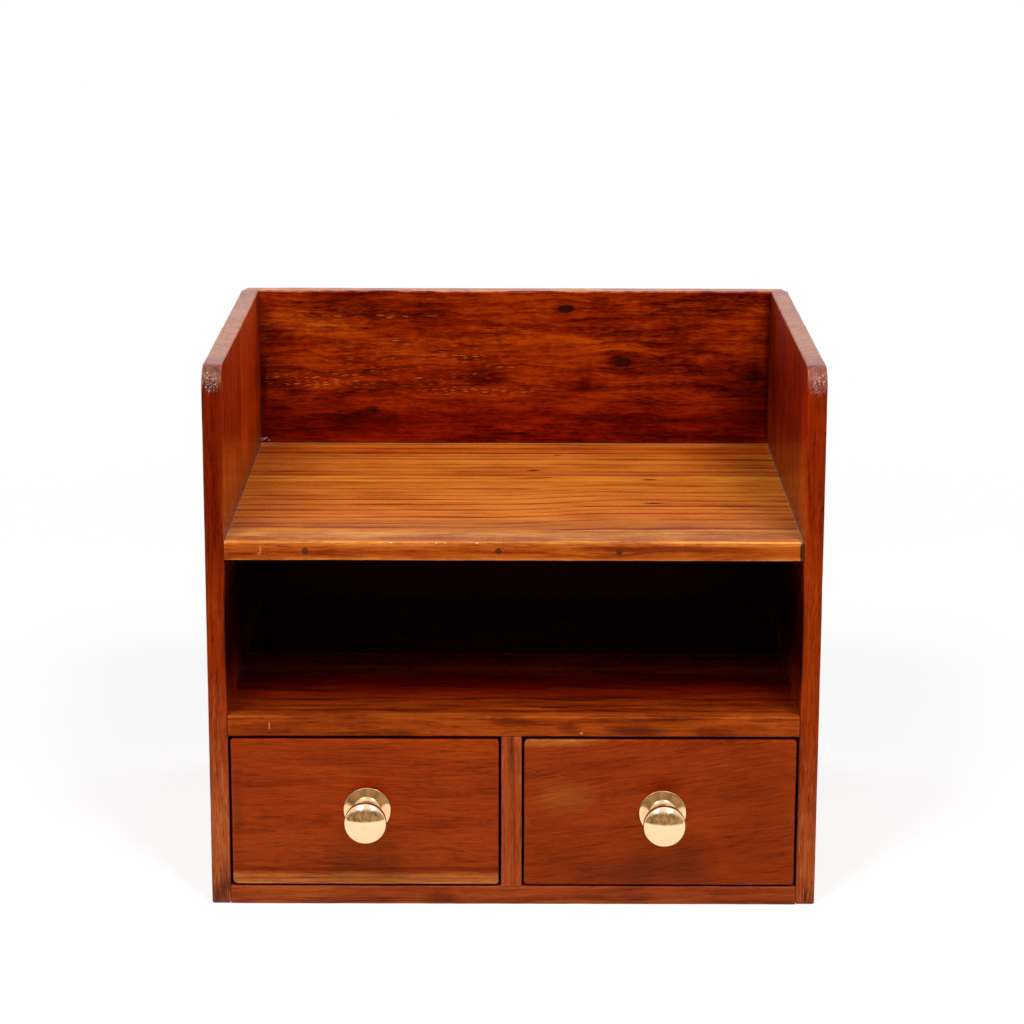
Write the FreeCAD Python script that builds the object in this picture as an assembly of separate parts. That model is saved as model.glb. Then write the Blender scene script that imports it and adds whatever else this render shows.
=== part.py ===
import FreeCAD, Part
import math
import os

# Desktop drawer organizer in solid wood, in millimetres.
# X is to the right, Y to the back and Z up. The origin is on the underside, at the
# centre of the case's footprint, so the case front lies at minus half its depth.

# Case
case_width = 330.0
case_height = 299.0
side_thickness = 10.5
side_depth = 246.8
side_corner_radius = 12.0
back_thickness = 10.0
back_corner_radius = 4.0
edge_round = 1.0

# Boards across the case, from the bottom up, and the clear heights between them
bottom_thickness = 10.5
drawer_bay_height = 85.7
middle_shelf_thickness = 11.4
compartment_height = 86.7
upper_shelf_thickness = 10.7

# Upright board between the two drawers
divider_thickness = 11.3
divider_offset = -1.15

# Glue lines, as depths behind the case front, and the back's as a height
left_side_joint_depth = 118.0
right_side_joint_depth = 127.0
shelf_strip_depth = 25.0
upper_shelf_joint_depth = 154.0
middle_shelf_joint_depth = 122.0
bottom_joint_depth = 135.0
divider_joint_depth = 126.0
back_joint_height = 150.0

# Nails, sunk below the face, and the putty that covers them
nail_diameter = 1.8
nail_length = 30.0
nail_head_diameter = 3.0
nail_head_thickness = 0.8
nail_point_length = 2.5
nail_sunk_depth = 1.6
putty_diameter = 3.3
nail_clearance = 0.05

# Long nails through the upper shelf's front strip, by their place across the case
strip_nail_length = 40.0
strip_nail_left_x = -111.5
strip_nail_middle_x = -8.4
strip_nail_right_x = 56.1

# Nails of the divider, as depths behind the case front
divider_lower_front_nail_depth = 40.0
divider_lower_rear_nail_depth = 200.0
divider_upper_front_nail_depth = 100.0
divider_upper_rear_nail_depth = 190.0

# Nails of the back, into the side panels and into the shelves
back_nail_edge_distance = 25.0
back_shelf_nail_spacing = 150.0

# Drawers: the front in its bay, and the box behind it
front_thickness = 10.5
front_side_gap = 1.1
front_bottom_gap = 0.8
front_top_gap = 1.6
front_corner_radius = 2.0
drawer_side_thickness = 8.0
drawer_side_height = 72.0
drawer_side_inset = 1.0
drawer_back_thickness = 8.0
drawer_bottom_thickness = 4.0
drawer_stop_gap = 0.3

# Nails through a drawer's front, as heights above its lower edge
front_upper_nail_height = 64.7
front_lower_nail_height = 36.4

# Nails through a drawer's sides into its back, from the back's lower and upper edges
drawer_back_nail_edge_distance = 18.0

# Small nails that hold a drawer's bottom
brad_diameter = 1.2
brad_length = 16.0
brad_head_diameter = 2.2
brad_head_thickness = 0.5
brad_point_length = 1.5
brad_sunk_depth = 0.4
brad_end_distance = 30.0
brad_back_spacing = 70.0

# Turned knob: a foot with a sloping face, a cove up to the neck and a head with a shallow dome
# on its face. The slope is in degrees.
knob_length = 26.7
knob_base_diameter = 25.5
knob_rim_thickness = 0.9
knob_foot_slope = 19.0
knob_cove_radius = 4.5
knob_neck_diameter = 11.4
knob_head_diameter = 22.8
knob_head_back_radius = 8.0
knob_head_side_length = 1.0
knob_shoulder_radius = 1.5
knob_dome_radius = 19.0
left_knob_from_centre = 1.1
left_knob_above_centre = 1.5
right_knob_from_centre = 1.6
right_knob_above_centre = 0.2

# Screw and washer that hold a knob from inside the drawer
screw_diameter = 4.0
screw_length = 22.0
screw_head_diameter = 8.0
screw_head_height = 2.6
screw_slot_width = 1.2
screw_slot_depth = 1.2
screw_bore_clearance = 0.05
screw_hole_clearance = 0.25
screw_tip_clearance = 1.5
washer_diameter = 10.0
washer_thickness = 1.0

# Places that follow from the sizes above
case_depth = side_depth + back_thickness
front_y = -case_depth / 2
back_face_y = front_y + side_depth
rear_y = case_depth / 2
outer_x = case_width / 2
inner_x = outer_x - side_thickness
bottom_top = bottom_thickness
middle_shelf_low = bottom_top + drawer_bay_height
middle_shelf_top = middle_shelf_low + middle_shelf_thickness
upper_shelf_low = middle_shelf_top + compartment_height
upper_shelf_top = upper_shelf_low + upper_shelf_thickness
divider_left = divider_offset - divider_thickness / 2
divider_right = divider_offset + divider_thickness / 2

LEFT = FreeCAD.Vector(-1, 0, 0)
RIGHT = FreeCAD.Vector(1, 0, 0)
FRONT = FreeCAD.Vector(0, -1, 0)
BACK = FreeCAD.Vector(0, 1, 0)
DOWN = FreeCAD.Vector(0, 0, -1)
UP = FreeCAD.Vector(0, 0, 1)
SPARE = 1.0


def middle(low, high):
    """The place half way between two places."""
    return (low + high) / 2


def behind_front(depth):
    """The Y of a place that lies this deep behind the case front."""
    return front_y + depth


def write(shapes, name):
    """Write one solid, or a group of solids, as a named sub-part."""
    shape = shapes
    if isinstance(shapes, list):
        shape = Part.makeCompound(shapes)
    shape.exportStep("parts/" + name + ".step")


def block(x, y, z):
    """A block between two places along each axis."""
    corner = FreeCAD.Vector(x[0], y[0], z[0])
    return Part.makeBox(x[1] - x[0], y[1] - y[0], z[1] - z[0], corner)


def cylinder(radius, low, high):
    """An upright cylinder on the Z axis between two heights."""
    return Part.makeCylinder(radius, high - low, FreeCAD.Vector(0, 0, low))


def aim(shape, place, outward):
    """Turn a shape made along +Z so that it points outward, and put it in its place."""
    turned = shape.copy()
    turned.Placement = FreeCAD.Placement(place, FreeCAD.Rotation(UP, outward))
    return turned


def bored(board, holes):
    """A board with its holes cut out of it."""
    return board.cut(Part.makeCompound(holes))


def round_edges(solid, edges, thickness):
    """Round the named edges, by less on a board that is too thin for the full radius."""
    return solid.makeFillet(min(edge_round, 0.4 * thickness), edges)


def pin(radius, head_radius, head_thickness, length, point_length, sunk):
    """A nail along Z, driven in from Z = 0 until its head lies this deep."""
    head_low = -sunk - head_thickness
    tip = -sunk - length
    head = cylinder(head_radius, head_low, -sunk)
    shank = cylinder(radius, tip + point_length, head_low)
    point = Part.makeCone(0, radius, point_length, FreeCAD.Vector(0, 0, tip))
    return head.fuse(shank).fuse(point).removeSplitter()


def nail(length):
    """One case nail, with its head under the putty."""
    return pin(nail_diameter / 2, nail_head_diameter / 2, nail_head_thickness,
               length, nail_point_length, nail_sunk_depth)


def nail_hole(length):
    """The hole of a case nail: a pilot, and a wider mouth for its head and the putty."""
    mouth_low = -nail_sunk_depth - nail_head_thickness - nail_clearance
    pilot_low = -nail_sunk_depth - length - nail_clearance
    mouth = cylinder(putty_diameter / 2, mouth_low, SPARE)
    pilot = cylinder(nail_diameter / 2 + nail_clearance, pilot_low, mouth_low + nail_clearance)
    return mouth.fuse(pilot)


def putty():
    """The putty plug over a nail, flush with the board's face."""
    return cylinder(putty_diameter / 2 - nail_clearance, nail_clearance - nail_sunk_depth, 0)


def brad():
    """One small nail of a drawer's bottom."""
    return pin(brad_diameter / 2, brad_head_diameter / 2, brad_head_thickness,
               brad_length, brad_point_length, brad_sunk_depth)


def brad_hole():
    """The hole of a small nail, with a mouth for its head."""
    mouth_low = -brad_sunk_depth - brad_head_thickness - nail_clearance
    pilot_low = -brad_sunk_depth - brad_length - nail_clearance
    mouth = cylinder(brad_head_diameter / 2 + nail_clearance, mouth_low, SPARE)
    pilot = cylinder(brad_diameter / 2 + nail_clearance, pilot_low, mouth_low + nail_clearance)
    return mouth.fuse(pilot)


def nailed(places, outward, length=nail_length):
    """The nails, putty plugs and holes at these places on a face that looks outward."""
    nails = [aim(nail(length), place, outward) for place in places]
    plugs = [aim(putty(), place, outward) for place in places]
    holes = [aim(nail_hole(length), place, outward) for place in places]
    return nails, plugs, holes


# Boards that run across the case between the side panels, with their depths from the
# front and their heights
def cross_boards():
    """Each shelf and bottom board as its name, its two depths and its two heights."""
    upper = (upper_shelf_low, upper_shelf_top)
    centre = (middle_shelf_low, middle_shelf_top)
    lower = (0, bottom_top)
    return [
        ("upper_shelf_front_strip", (0, shelf_strip_depth), upper),
        ("upper_shelf_middle_board", (shelf_strip_depth, upper_shelf_joint_depth), upper),
        ("upper_shelf_rear_board", (upper_shelf_joint_depth, side_depth), upper),
        ("middle_shelf_front_board", (0, middle_shelf_joint_depth), centre),
        ("middle_shelf_rear_board", (middle_shelf_joint_depth, side_depth), centre),
        ("bottom_front_board", (0, bottom_joint_depth), lower),
        ("bottom_rear_board", (bottom_joint_depth, side_depth), lower),
    ]


def side_nail_places(x):
    """One nail into the end of each cross board, at the middle of its end."""
    return [FreeCAD.Vector(x, behind_front(middle(*depths)), middle(*heights))
            for name, depths, heights in cross_boards()]


def strip_nail_places():
    """Nails through the front edge of the upper shelf's strip."""
    height = middle(upper_shelf_low, upper_shelf_top)
    return [FreeCAD.Vector(x, front_y, height)
            for x in (strip_nail_left_x, strip_nail_middle_x, strip_nail_right_x)]


def divider_nail_places(height, depths):
    """Nails into an end of the divider, from a face at this height."""
    return [FreeCAD.Vector(divider_offset, behind_front(depth), height) for depth in depths]


def back_nail_places():
    """Nails through the back, into the side panels and the cross boards' rear edges."""
    edge = back_nail_edge_distance
    side_heights = (edge, back_joint_height - edge,
                    back_joint_height + edge, case_height - edge)
    places = []
    for x in (outer_x - side_thickness / 2, side_thickness / 2 - outer_x):
        for height in side_heights:
            places.append(FreeCAD.Vector(x, rear_y, height))
    shelf_heights = (middle(0, bottom_top), middle(middle_shelf_low, middle_shelf_top),
                     middle(upper_shelf_low, upper_shelf_top))
    for x in (-back_shelf_nail_spacing / 2, back_shelf_nail_spacing / 2):
        for height in shelf_heights:
            places.append(FreeCAD.Vector(x, rear_y, height))
    return places


def case_fixings():
    """All nails of the case: their groups by name, with nails, plugs and holes."""
    lower_depths = (divider_lower_front_nail_depth, divider_lower_rear_nail_depth)
    upper_depths = (divider_upper_front_nail_depth, divider_upper_rear_nail_depth)
    lower = nailed(divider_nail_places(0, lower_depths), DOWN)
    upper = nailed(divider_nail_places(middle_shelf_top, upper_depths), UP)
    return {
        "left_side": nailed(side_nail_places(-outer_x), LEFT),
        "right_side": nailed(side_nail_places(outer_x), RIGHT),
        "shelf_strip": nailed(strip_nail_places(), FRONT, strip_nail_length),
        "divider": tuple(low + high for low, high in zip(lower, upper)),
        "back": nailed(back_nail_places(), BACK),
    }


def side_panel(x):
    """A whole side panel, with its top front corner and its exposed edges rounded."""
    radius = side_corner_radius
    low_front = FreeCAD.Vector(x[0], front_y, 0)
    corner_start = FreeCAD.Vector(x[0], front_y, case_height - radius)
    corner_centre = FreeCAD.Vector(x[0], front_y + radius, case_height - radius)
    corner_middle = corner_centre + FreeCAD.Vector(0, -1, 1).normalize() * radius
    corner_end = FreeCAD.Vector(x[0], front_y + radius, case_height)
    high_rear = FreeCAD.Vector(x[0], back_face_y, case_height)
    low_rear = FreeCAD.Vector(x[0], back_face_y, 0)
    outline = Part.Wire([
        Part.makeLine(low_front, corner_start),
        Part.Arc(corner_start, corner_middle, corner_end).toShape(),
        Part.makeLine(corner_end, high_rear),
        Part.makeLine(high_rear, low_rear),
        Part.makeLine(low_rear, low_front),
    ])
    panel = Part.Face(outline).extrude(FreeCAD.Vector(x[1] - x[0], 0, 0))
    edges = [edge for edge in panel.Edges if on_front_or_top(edge)]
    return round_edges(panel, edges, x[1] - x[0])


def on_front_or_top(edge):
    """Whether an edge of a side panel runs up its front, round its corner or along its top."""
    box = edge.BoundBox
    along_x = box.XLength > edge_round
    at_back = box.YMin > back_face_y - edge_round
    at_bottom = box.ZMax < edge_round
    return not (along_x or at_back or at_bottom)


def side_boards(name, x, joint_depth, holes):
    """A side panel's two glued boards, bored for the nails."""
    panel = bored(side_panel(x), holes)
    joint_y = behind_front(joint_depth)
    front_part = block(x, (front_y, joint_y), (0, case_height))
    rear_part = block(x, (joint_y, back_face_y), (0, case_height))
    write(panel.common(front_part), name + "_front_board")
    write(panel.common(rear_part), name + "_rear_board")


def back_panel():
    """The whole back, with its two upper corners rounded."""
    radius = back_corner_radius
    panel = block((-outer_x, outer_x), (back_face_y, rear_y), (0, case_height))
    corners = [edge for edge in panel.Edges
               if edge.BoundBox.XLength < radius and edge.BoundBox.ZMin > case_height - radius]
    rounded = panel.makeFillet(radius, corners)
    top = [edge for edge in rounded.Edges
           if edge.BoundBox.YLength < SPARE and edge.BoundBox.ZMin > case_height - 2 * radius]
    return round_edges(rounded, top, back_thickness)


def back_boards(holes):
    """The back's two glued boards, bored for the nails."""
    panel = bored(back_panel(), holes)
    x = (-outer_x, outer_x)
    y = (back_face_y, rear_y)
    write(panel.common(block(x, y, (0, back_joint_height))), "lower_back_board")
    write(panel.common(block(x, y, (back_joint_height, case_height))), "upper_back_board")


def front_top_edge(board, height):
    """The edge along a cross board's top, at the case front."""
    return [edge for edge in board.Edges
            if edge.BoundBox.XLength > side_thickness
            and edge.BoundBox.YMax < front_y + edge_round / 2
            and edge.BoundBox.ZMin > height - edge_round / 2]


def make_cross_boards(holes):
    """The shelves and the bottom, each from boards glued edge to edge."""
    for name, depths, heights in cross_boards():
        y = (behind_front(depths[0]), behind_front(depths[1]))
        board = block((-inner_x, inner_x), y, heights)
        worn = depths[0] == 0 and heights[0] > 0
        if worn:
            thickness = heights[1] - heights[0]
            board = round_edges(board, front_top_edge(board, heights[1]), thickness)
        write(bored(board, holes), name)


def make_divider(holes):
    """The upright between the drawers, from two boards glued edge to edge."""
    x = (divider_left, divider_right)
    z = (bottom_top, middle_shelf_low)
    joint_y = behind_front(divider_joint_depth)
    front_board = block(x, (front_y, joint_y), z)
    rear_board = block(x, (joint_y, back_face_y), z)
    write(bored(front_board, holes), "divider_front_board")
    write(bored(rear_board, holes), "divider_rear_board")


def make_case():
    """The fixed case: its boards, nails and putty."""
    fixings = case_fixings()
    holes = []
    for name, (nails, plugs, group_holes) in fixings.items():
        write(nails, name + "_nails")
        write(plugs, name + "_putty")
        holes = holes + group_holes
    side_boards("left_side", (-outer_x, -inner_x), left_side_joint_depth, holes)
    side_boards("right_side", (inner_x, outer_x), right_side_joint_depth, holes)
    back_boards(holes)
    make_cross_boards(holes)
    make_divider(holes)


def turned_arc(centre, radius, start, end):
    """An arc of the knob's half section. A point is radius and height, an angle is in degrees."""
    points = []
    for angle in (start, (start + end) / 2, end):
        turn = math.radians(angle)
        points.append(FreeCAD.Vector(centre[0] + radius * math.cos(turn), 0,
                                     centre[1] + radius * math.sin(turn)))
    return Part.Arc(*points).toShape()


def knob():
    """A turned knob along +Z, standing on Z = 0, with the blind bore for its screw."""
    base_r = knob_base_diameter / 2
    neck_r = knob_neck_diameter / 2
    head_r = knob_head_diameter / 2
    slope = math.radians(knob_foot_slope)
    cove_r = neck_r + knob_cove_radius
    foot_rise = (base_r - cove_r + knob_cove_radius * math.sin(slope)) * math.tan(slope)
    neck_low = knob_rim_thickness + foot_rise + knob_cove_radius * math.cos(slope)
    shoulder_r = head_r - knob_shoulder_radius
    dome_mid = knob_length - knob_dome_radius
    rise = ((knob_dome_radius - knob_shoulder_radius) ** 2 - shoulder_r ** 2) ** 0.5
    head_front = dome_mid + rise
    head_rear = head_front - knob_head_side_length
    dome_edge = math.degrees(math.atan2(rise, shoulder_r))
    back_r = head_r - knob_head_back_radius
    back_angle = math.degrees(math.acos((neck_r - back_r) / knob_head_back_radius))
    curves = [
        turned_arc((cove_r, neck_low), knob_cove_radius, 270 - knob_foot_slope, 180),
        turned_arc((back_r, head_rear), knob_head_back_radius, -back_angle, 0),
        turned_arc((shoulder_r, head_front), knob_shoulder_radius, 0, dome_edge),
        turned_arc((0, dome_mid), knob_dome_radius, dome_edge, 90),
    ]
    foot = [FreeCAD.Vector(0, 0, 0), FreeCAD.Vector(base_r, 0, 0),
            FreeCAD.Vector(base_r, 0, knob_rim_thickness), curves[0].Vertexes[0].Point]
    edges = [Part.makeLine(start, end) for start, end in zip(foot, foot[1:])]
    for curve, following in zip(curves, curves[1:]):
        edges.append(curve)
        start, end = curve.Vertexes[-1].Point, following.Vertexes[0].Point
        if start.distanceToPoint(end) > 1e-6:
            edges.append(Part.makeLine(start, end))
    edges.append(curves[-1])
    edges.append(Part.makeLine(curves[-1].Vertexes[-1].Point, FreeCAD.Vector(0, 0, 0)))
    body = Part.Face(Part.Wire(edges)).revolve(FreeCAD.Vector(0, 0, 0), UP, 360)
    bore_radius = screw_diameter / 2 + screw_bore_clearance
    bore_depth = screw_length - front_thickness - washer_thickness + screw_tip_clearance
    return body.cut(cylinder(bore_radius, -SPARE, bore_depth))


def knob_screw():
    """The knob's screw along +Z, its head's seat at Z = 0 and a slot across its head."""
    head = cylinder(screw_head_diameter / 2, 0, screw_head_height)
    rim = [edge for edge in head.Edges if edge.BoundBox.ZMin > screw_head_height / 2]
    head = round_edges(head, rim, screw_head_height)
    shank = cylinder(screw_diameter / 2, -screw_length, 0)
    half_slot = screw_slot_width / 2
    slot_z = (screw_head_height - screw_slot_depth, screw_head_height + SPARE)
    slot = block((-screw_head_diameter, screw_head_diameter), (-half_slot, half_slot), slot_z)
    return head.fuse(shank).removeSplitter().cut(slot)


def knob_washer():
    """The washer under the screw's head, along +Z from Z = 0."""
    disc = cylinder(washer_diameter / 2, 0, washer_thickness)
    hole = cylinder(screw_diameter / 2 + screw_hole_clearance, -SPARE, washer_thickness + SPARE)
    return disc.cut(hole)


def drawer_front(x, z, holes):
    """A drawer's front: corners and front edges rounded, and its holes cut."""
    y = (front_y, front_y + front_thickness)
    board = block(x, y, z)
    corners = [edge for edge in board.Edges if edge.BoundBox.YLength > front_thickness / 2]
    board = board.makeFillet(front_corner_radius, corners)
    face_edges = [edge for edge in board.Edges if edge.BoundBox.YMax < front_y + edge_round / 2]
    board = round_edges(board, face_edges, front_thickness)
    return bored(board, holes)


def make_knob(name, place):
    """A drawer's knob with its screw and washer. Returns the hole through the front."""
    inside = FreeCAD.Vector(place.x, place.y + front_thickness, place.z)
    seat = FreeCAD.Vector(place.x, inside.y + washer_thickness, place.z)
    write(aim(knob(), place, FRONT), name + "_knob")
    write(aim(knob_washer(), inside, BACK), name + "_knob_washer")
    write(aim(knob_screw(), seat, BACK), name + "_knob_screw")
    radius = screw_diameter / 2 + screw_hole_clearance
    return aim(cylinder(radius, -SPARE, front_thickness + SPARE), place, BACK)


def brad_places(side_middles, back_middle, y, z):
    """Small nails up into the drawer's sides and back."""
    rows = (y[0] + brad_end_distance, middle(*y), y[1] - brad_end_distance)
    places = [FreeCAD.Vector(x, row, z) for x in side_middles for row in rows]
    centre = middle(*side_middles)
    for shift in (-brad_back_spacing / 2, brad_back_spacing / 2):
        places.append(FreeCAD.Vector(centre + shift, back_middle, z))
    return places


def make_drawer(name, bay_left, bay_right, knob_from_centre, knob_above_centre):
    """One drawer in its bay, closed: front, sides, back, bottom, nails and knob."""
    front_x = (bay_left + front_side_gap, bay_right - front_side_gap)
    front_z = (bottom_top + front_bottom_gap, middle_shelf_low - front_top_gap)
    box_x = (front_x[0] + drawer_side_inset, front_x[1] - drawer_side_inset)
    box_y = (front_y + front_thickness, back_face_y - drawer_stop_gap)
    bottom_z = (bottom_top, bottom_top + drawer_bottom_thickness)
    side_z = (bottom_z[1], bottom_z[1] + drawer_side_height)
    left_x = (box_x[0], box_x[0] + drawer_side_thickness)
    right_x = (box_x[1] - drawer_side_thickness, box_x[1])
    back_y = (box_y[1] - drawer_back_thickness, box_y[1])
    side_middles = (middle(*left_x), middle(*right_x))

    front_places = [FreeCAD.Vector(x, front_y, front_z[0] + height)
                    for x in side_middles
                    for height in (front_lower_nail_height, front_upper_nail_height)]
    front_nails, front_plugs, front_holes = nailed(front_places, FRONT)

    back_heights = (side_z[0] + drawer_back_nail_edge_distance,
                    side_z[1] - drawer_back_nail_edge_distance)
    ends = [[FreeCAD.Vector(x, middle(*back_y), height) for height in back_heights]
            for x in box_x]
    left_nails, left_plugs, left_holes = nailed(ends[0], LEFT)
    right_nails, right_plugs, right_holes = nailed(ends[1], RIGHT)

    brads = brad_places(side_middles, middle(*back_y), box_y, bottom_z[0])
    brad_holes = [aim(brad_hole(), place, DOWN) for place in brads]
    holes = front_holes + left_holes + right_holes + brad_holes

    knob_place = FreeCAD.Vector(middle(*front_x) + knob_from_centre, front_y,
                                middle(*front_z) + knob_above_centre)
    knob_hole = make_knob(name, knob_place)

    write(drawer_front(front_x, front_z, holes + [knob_hole]), name + "_front")
    write(bored(block(left_x, box_y, side_z), holes), name + "_left_side")
    write(bored(block(right_x, box_y, side_z), holes), name + "_right_side")
    write(bored(block((left_x[1], right_x[0]), back_y, side_z), holes), name + "_back")
    write(bored(block(box_x, box_y, bottom_z), holes), name + "_bottom")
    write(front_nails, name + "_front_nails")
    write(front_plugs, name + "_front_putty")
    write(left_nails + right_nails, name + "_back_nails")
    write(left_plugs + right_plugs, name + "_back_putty")
    write([aim(brad(), place, DOWN) for place in brads], name + "_bottom_nails")


def main():
    """Write every sub-part of the organizer."""
    os.makedirs("parts", exist_ok=True)
    make_case()
    make_drawer("left_drawer", -inner_x, divider_left,
                left_knob_from_centre, left_knob_above_centre)
    make_drawer("right_drawer", divider_right, inner_x,
                right_knob_from_centre, right_knob_above_centre)


main()
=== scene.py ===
import math
from dataclasses import dataclass

import bmesh
import bpy
from bpy.props import FloatProperty, FloatVectorProperty, IntProperty, PointerProperty
from mathutils import Matrix, Vector, noise


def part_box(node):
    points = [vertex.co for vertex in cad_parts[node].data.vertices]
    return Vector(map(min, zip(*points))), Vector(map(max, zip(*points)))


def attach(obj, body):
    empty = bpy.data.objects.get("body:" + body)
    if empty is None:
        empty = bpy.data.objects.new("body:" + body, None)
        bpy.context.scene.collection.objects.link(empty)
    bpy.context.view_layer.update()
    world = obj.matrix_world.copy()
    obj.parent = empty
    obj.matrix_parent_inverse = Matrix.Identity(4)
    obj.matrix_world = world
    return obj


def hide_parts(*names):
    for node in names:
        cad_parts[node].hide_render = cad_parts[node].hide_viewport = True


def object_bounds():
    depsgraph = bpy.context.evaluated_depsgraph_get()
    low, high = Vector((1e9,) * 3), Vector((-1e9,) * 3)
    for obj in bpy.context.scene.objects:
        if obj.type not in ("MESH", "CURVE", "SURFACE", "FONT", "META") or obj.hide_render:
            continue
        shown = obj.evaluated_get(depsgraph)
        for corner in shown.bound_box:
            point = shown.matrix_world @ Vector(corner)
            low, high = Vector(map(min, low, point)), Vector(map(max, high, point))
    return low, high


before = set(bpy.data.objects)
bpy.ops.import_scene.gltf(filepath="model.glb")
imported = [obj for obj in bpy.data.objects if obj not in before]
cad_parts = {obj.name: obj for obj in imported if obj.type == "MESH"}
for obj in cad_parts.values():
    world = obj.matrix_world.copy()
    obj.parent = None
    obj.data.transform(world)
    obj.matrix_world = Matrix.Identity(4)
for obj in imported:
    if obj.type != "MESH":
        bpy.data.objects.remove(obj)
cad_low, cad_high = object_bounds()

bl_info = {
    "name": "Desktop Drawer Organizer",
    "version": (1, 0, 0),
    "blender": (4, 5, 0),
    "location": "3D View > Sidebar > Organizer",
    "description": "Builds the polished boards, drawers and knobs of a wooden desktop organizer",
    "category": "Object",
}

MM = 0.001
AXES = {"x": Vector((1, 0, 0)), "y": Vector((0, 1, 0)), "z": Vector((0, 0, 1))}
EVERYWHERE = 4000.0

# Sizes of the case's fixings that the boards' holes need
PLUG_CLEARANCE = 0.05 * MM
SHANK_RADIUS = 0.95 * MM
HEAD_ROOM = 0.95 * MM
BRAD_SHANK_RADIUS = 0.65 * MM
BRAD_HEAD_RADIUS = 1.15 * MM
BRAD_HEAD_DEPTH = 0.95 * MM
SCREW_HOLE_RADIUS = 2.25 * MM


def node_depth(name, axis):
    """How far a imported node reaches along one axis."""
    low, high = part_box(name)
    return high[axis] - low[axis]


# What a user may change

class OrganizerWoodSettings(bpy.types.PropertyGroup):
    """Colours and finish of the boards."""

    side_colour: FloatVectorProperty(
        name="Side panels", description="Middle tone of the two side panels",
        subtype="COLOR", size=3, min=0, max=1, default=(0.20, 0.018, 0.0012))
    back_colour: FloatVectorProperty(
        name="Back", description="Middle tone of the back",
        subtype="COLOR", size=3, min=0, max=1, default=(0.15, 0.0088, 0.0004))
    shelf_colour: FloatVectorProperty(
        name="Upper shelf", description="Middle tone of the upper shelf",
        subtype="COLOR", size=3, min=0, max=1, default=(0.54, 0.135, 0.014))
    strip_colour: FloatVectorProperty(
        name="Shelf's front strip", description="Middle tone of the strip at the shelf's front",
        subtype="COLOR", size=3, min=0, max=1, default=(0.41, 0.095, 0.011))
    middle_shelf_colour: FloatVectorProperty(
        name="Middle shelf", description="Middle tone of the middle shelf",
        subtype="COLOR", size=3, min=0, max=1, default=(0.205, 0.024, 0.0018))
    bottom_colour: FloatVectorProperty(
        name="Bottom and divider", description="Middle tone of the bottom and the divider",
        subtype="COLOR", size=3, min=0, max=1, default=(0.225, 0.027, 0.0045))
    front_colour: FloatVectorProperty(
        name="Drawer fronts", description="Middle tone of the drawer fronts",
        subtype="COLOR", size=3, min=0, max=1, default=(0.225, 0.0195, 0.0013))
    box_colour: FloatVectorProperty(
        name="Drawer boxes", description="Middle tone of the plain wood inside the drawers",
        subtype="COLOR", size=3, min=0, max=1, default=(0.50, 0.29, 0.13))
    plywood_colour: FloatVectorProperty(
        name="Drawer bottoms", description="Middle tone of the plywood under the drawers",
        subtype="COLOR", size=3, min=0, max=1, default=(0.56, 0.37, 0.19))
    gloss: FloatProperty(
        name="Lacquer roughness", description="Roughness of the polished boards",
        subtype="FACTOR", min=0.05, max=0.9, default=0.27)
    edge_wear: FloatProperty(
        name="Edge wear", description="How much the lacquer is rubbed through at the edges",
        subtype="FACTOR", min=0, max=1, default=0.5)
    edge_round: FloatProperty(
        name="Edge rounding", description="Radius of the exposed edges",
        subtype="DISTANCE", unit="LENGTH", min=0.0002, max=0.002, default=0.0011)
    waviness: FloatProperty(
        name="Hand planing", description="Depth of the shallow waves that hand planing leaves",
        subtype="DISTANCE", unit="LENGTH", min=0, max=0.0005, default=0.00008)
    chatter: FloatProperty(
        name="Uneven edges", description="How far the hand sanded edges wander inward",
        subtype="DISTANCE", unit="LENGTH", min=0, max=0.001, default=0.00032)
    mesh_step: FloatProperty(
        name="Mesh step", description="Spacing of the boards' mesh lines",
        subtype="DISTANCE", unit="LENGTH", min=0.003, max=0.05, default=0.009)


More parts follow.
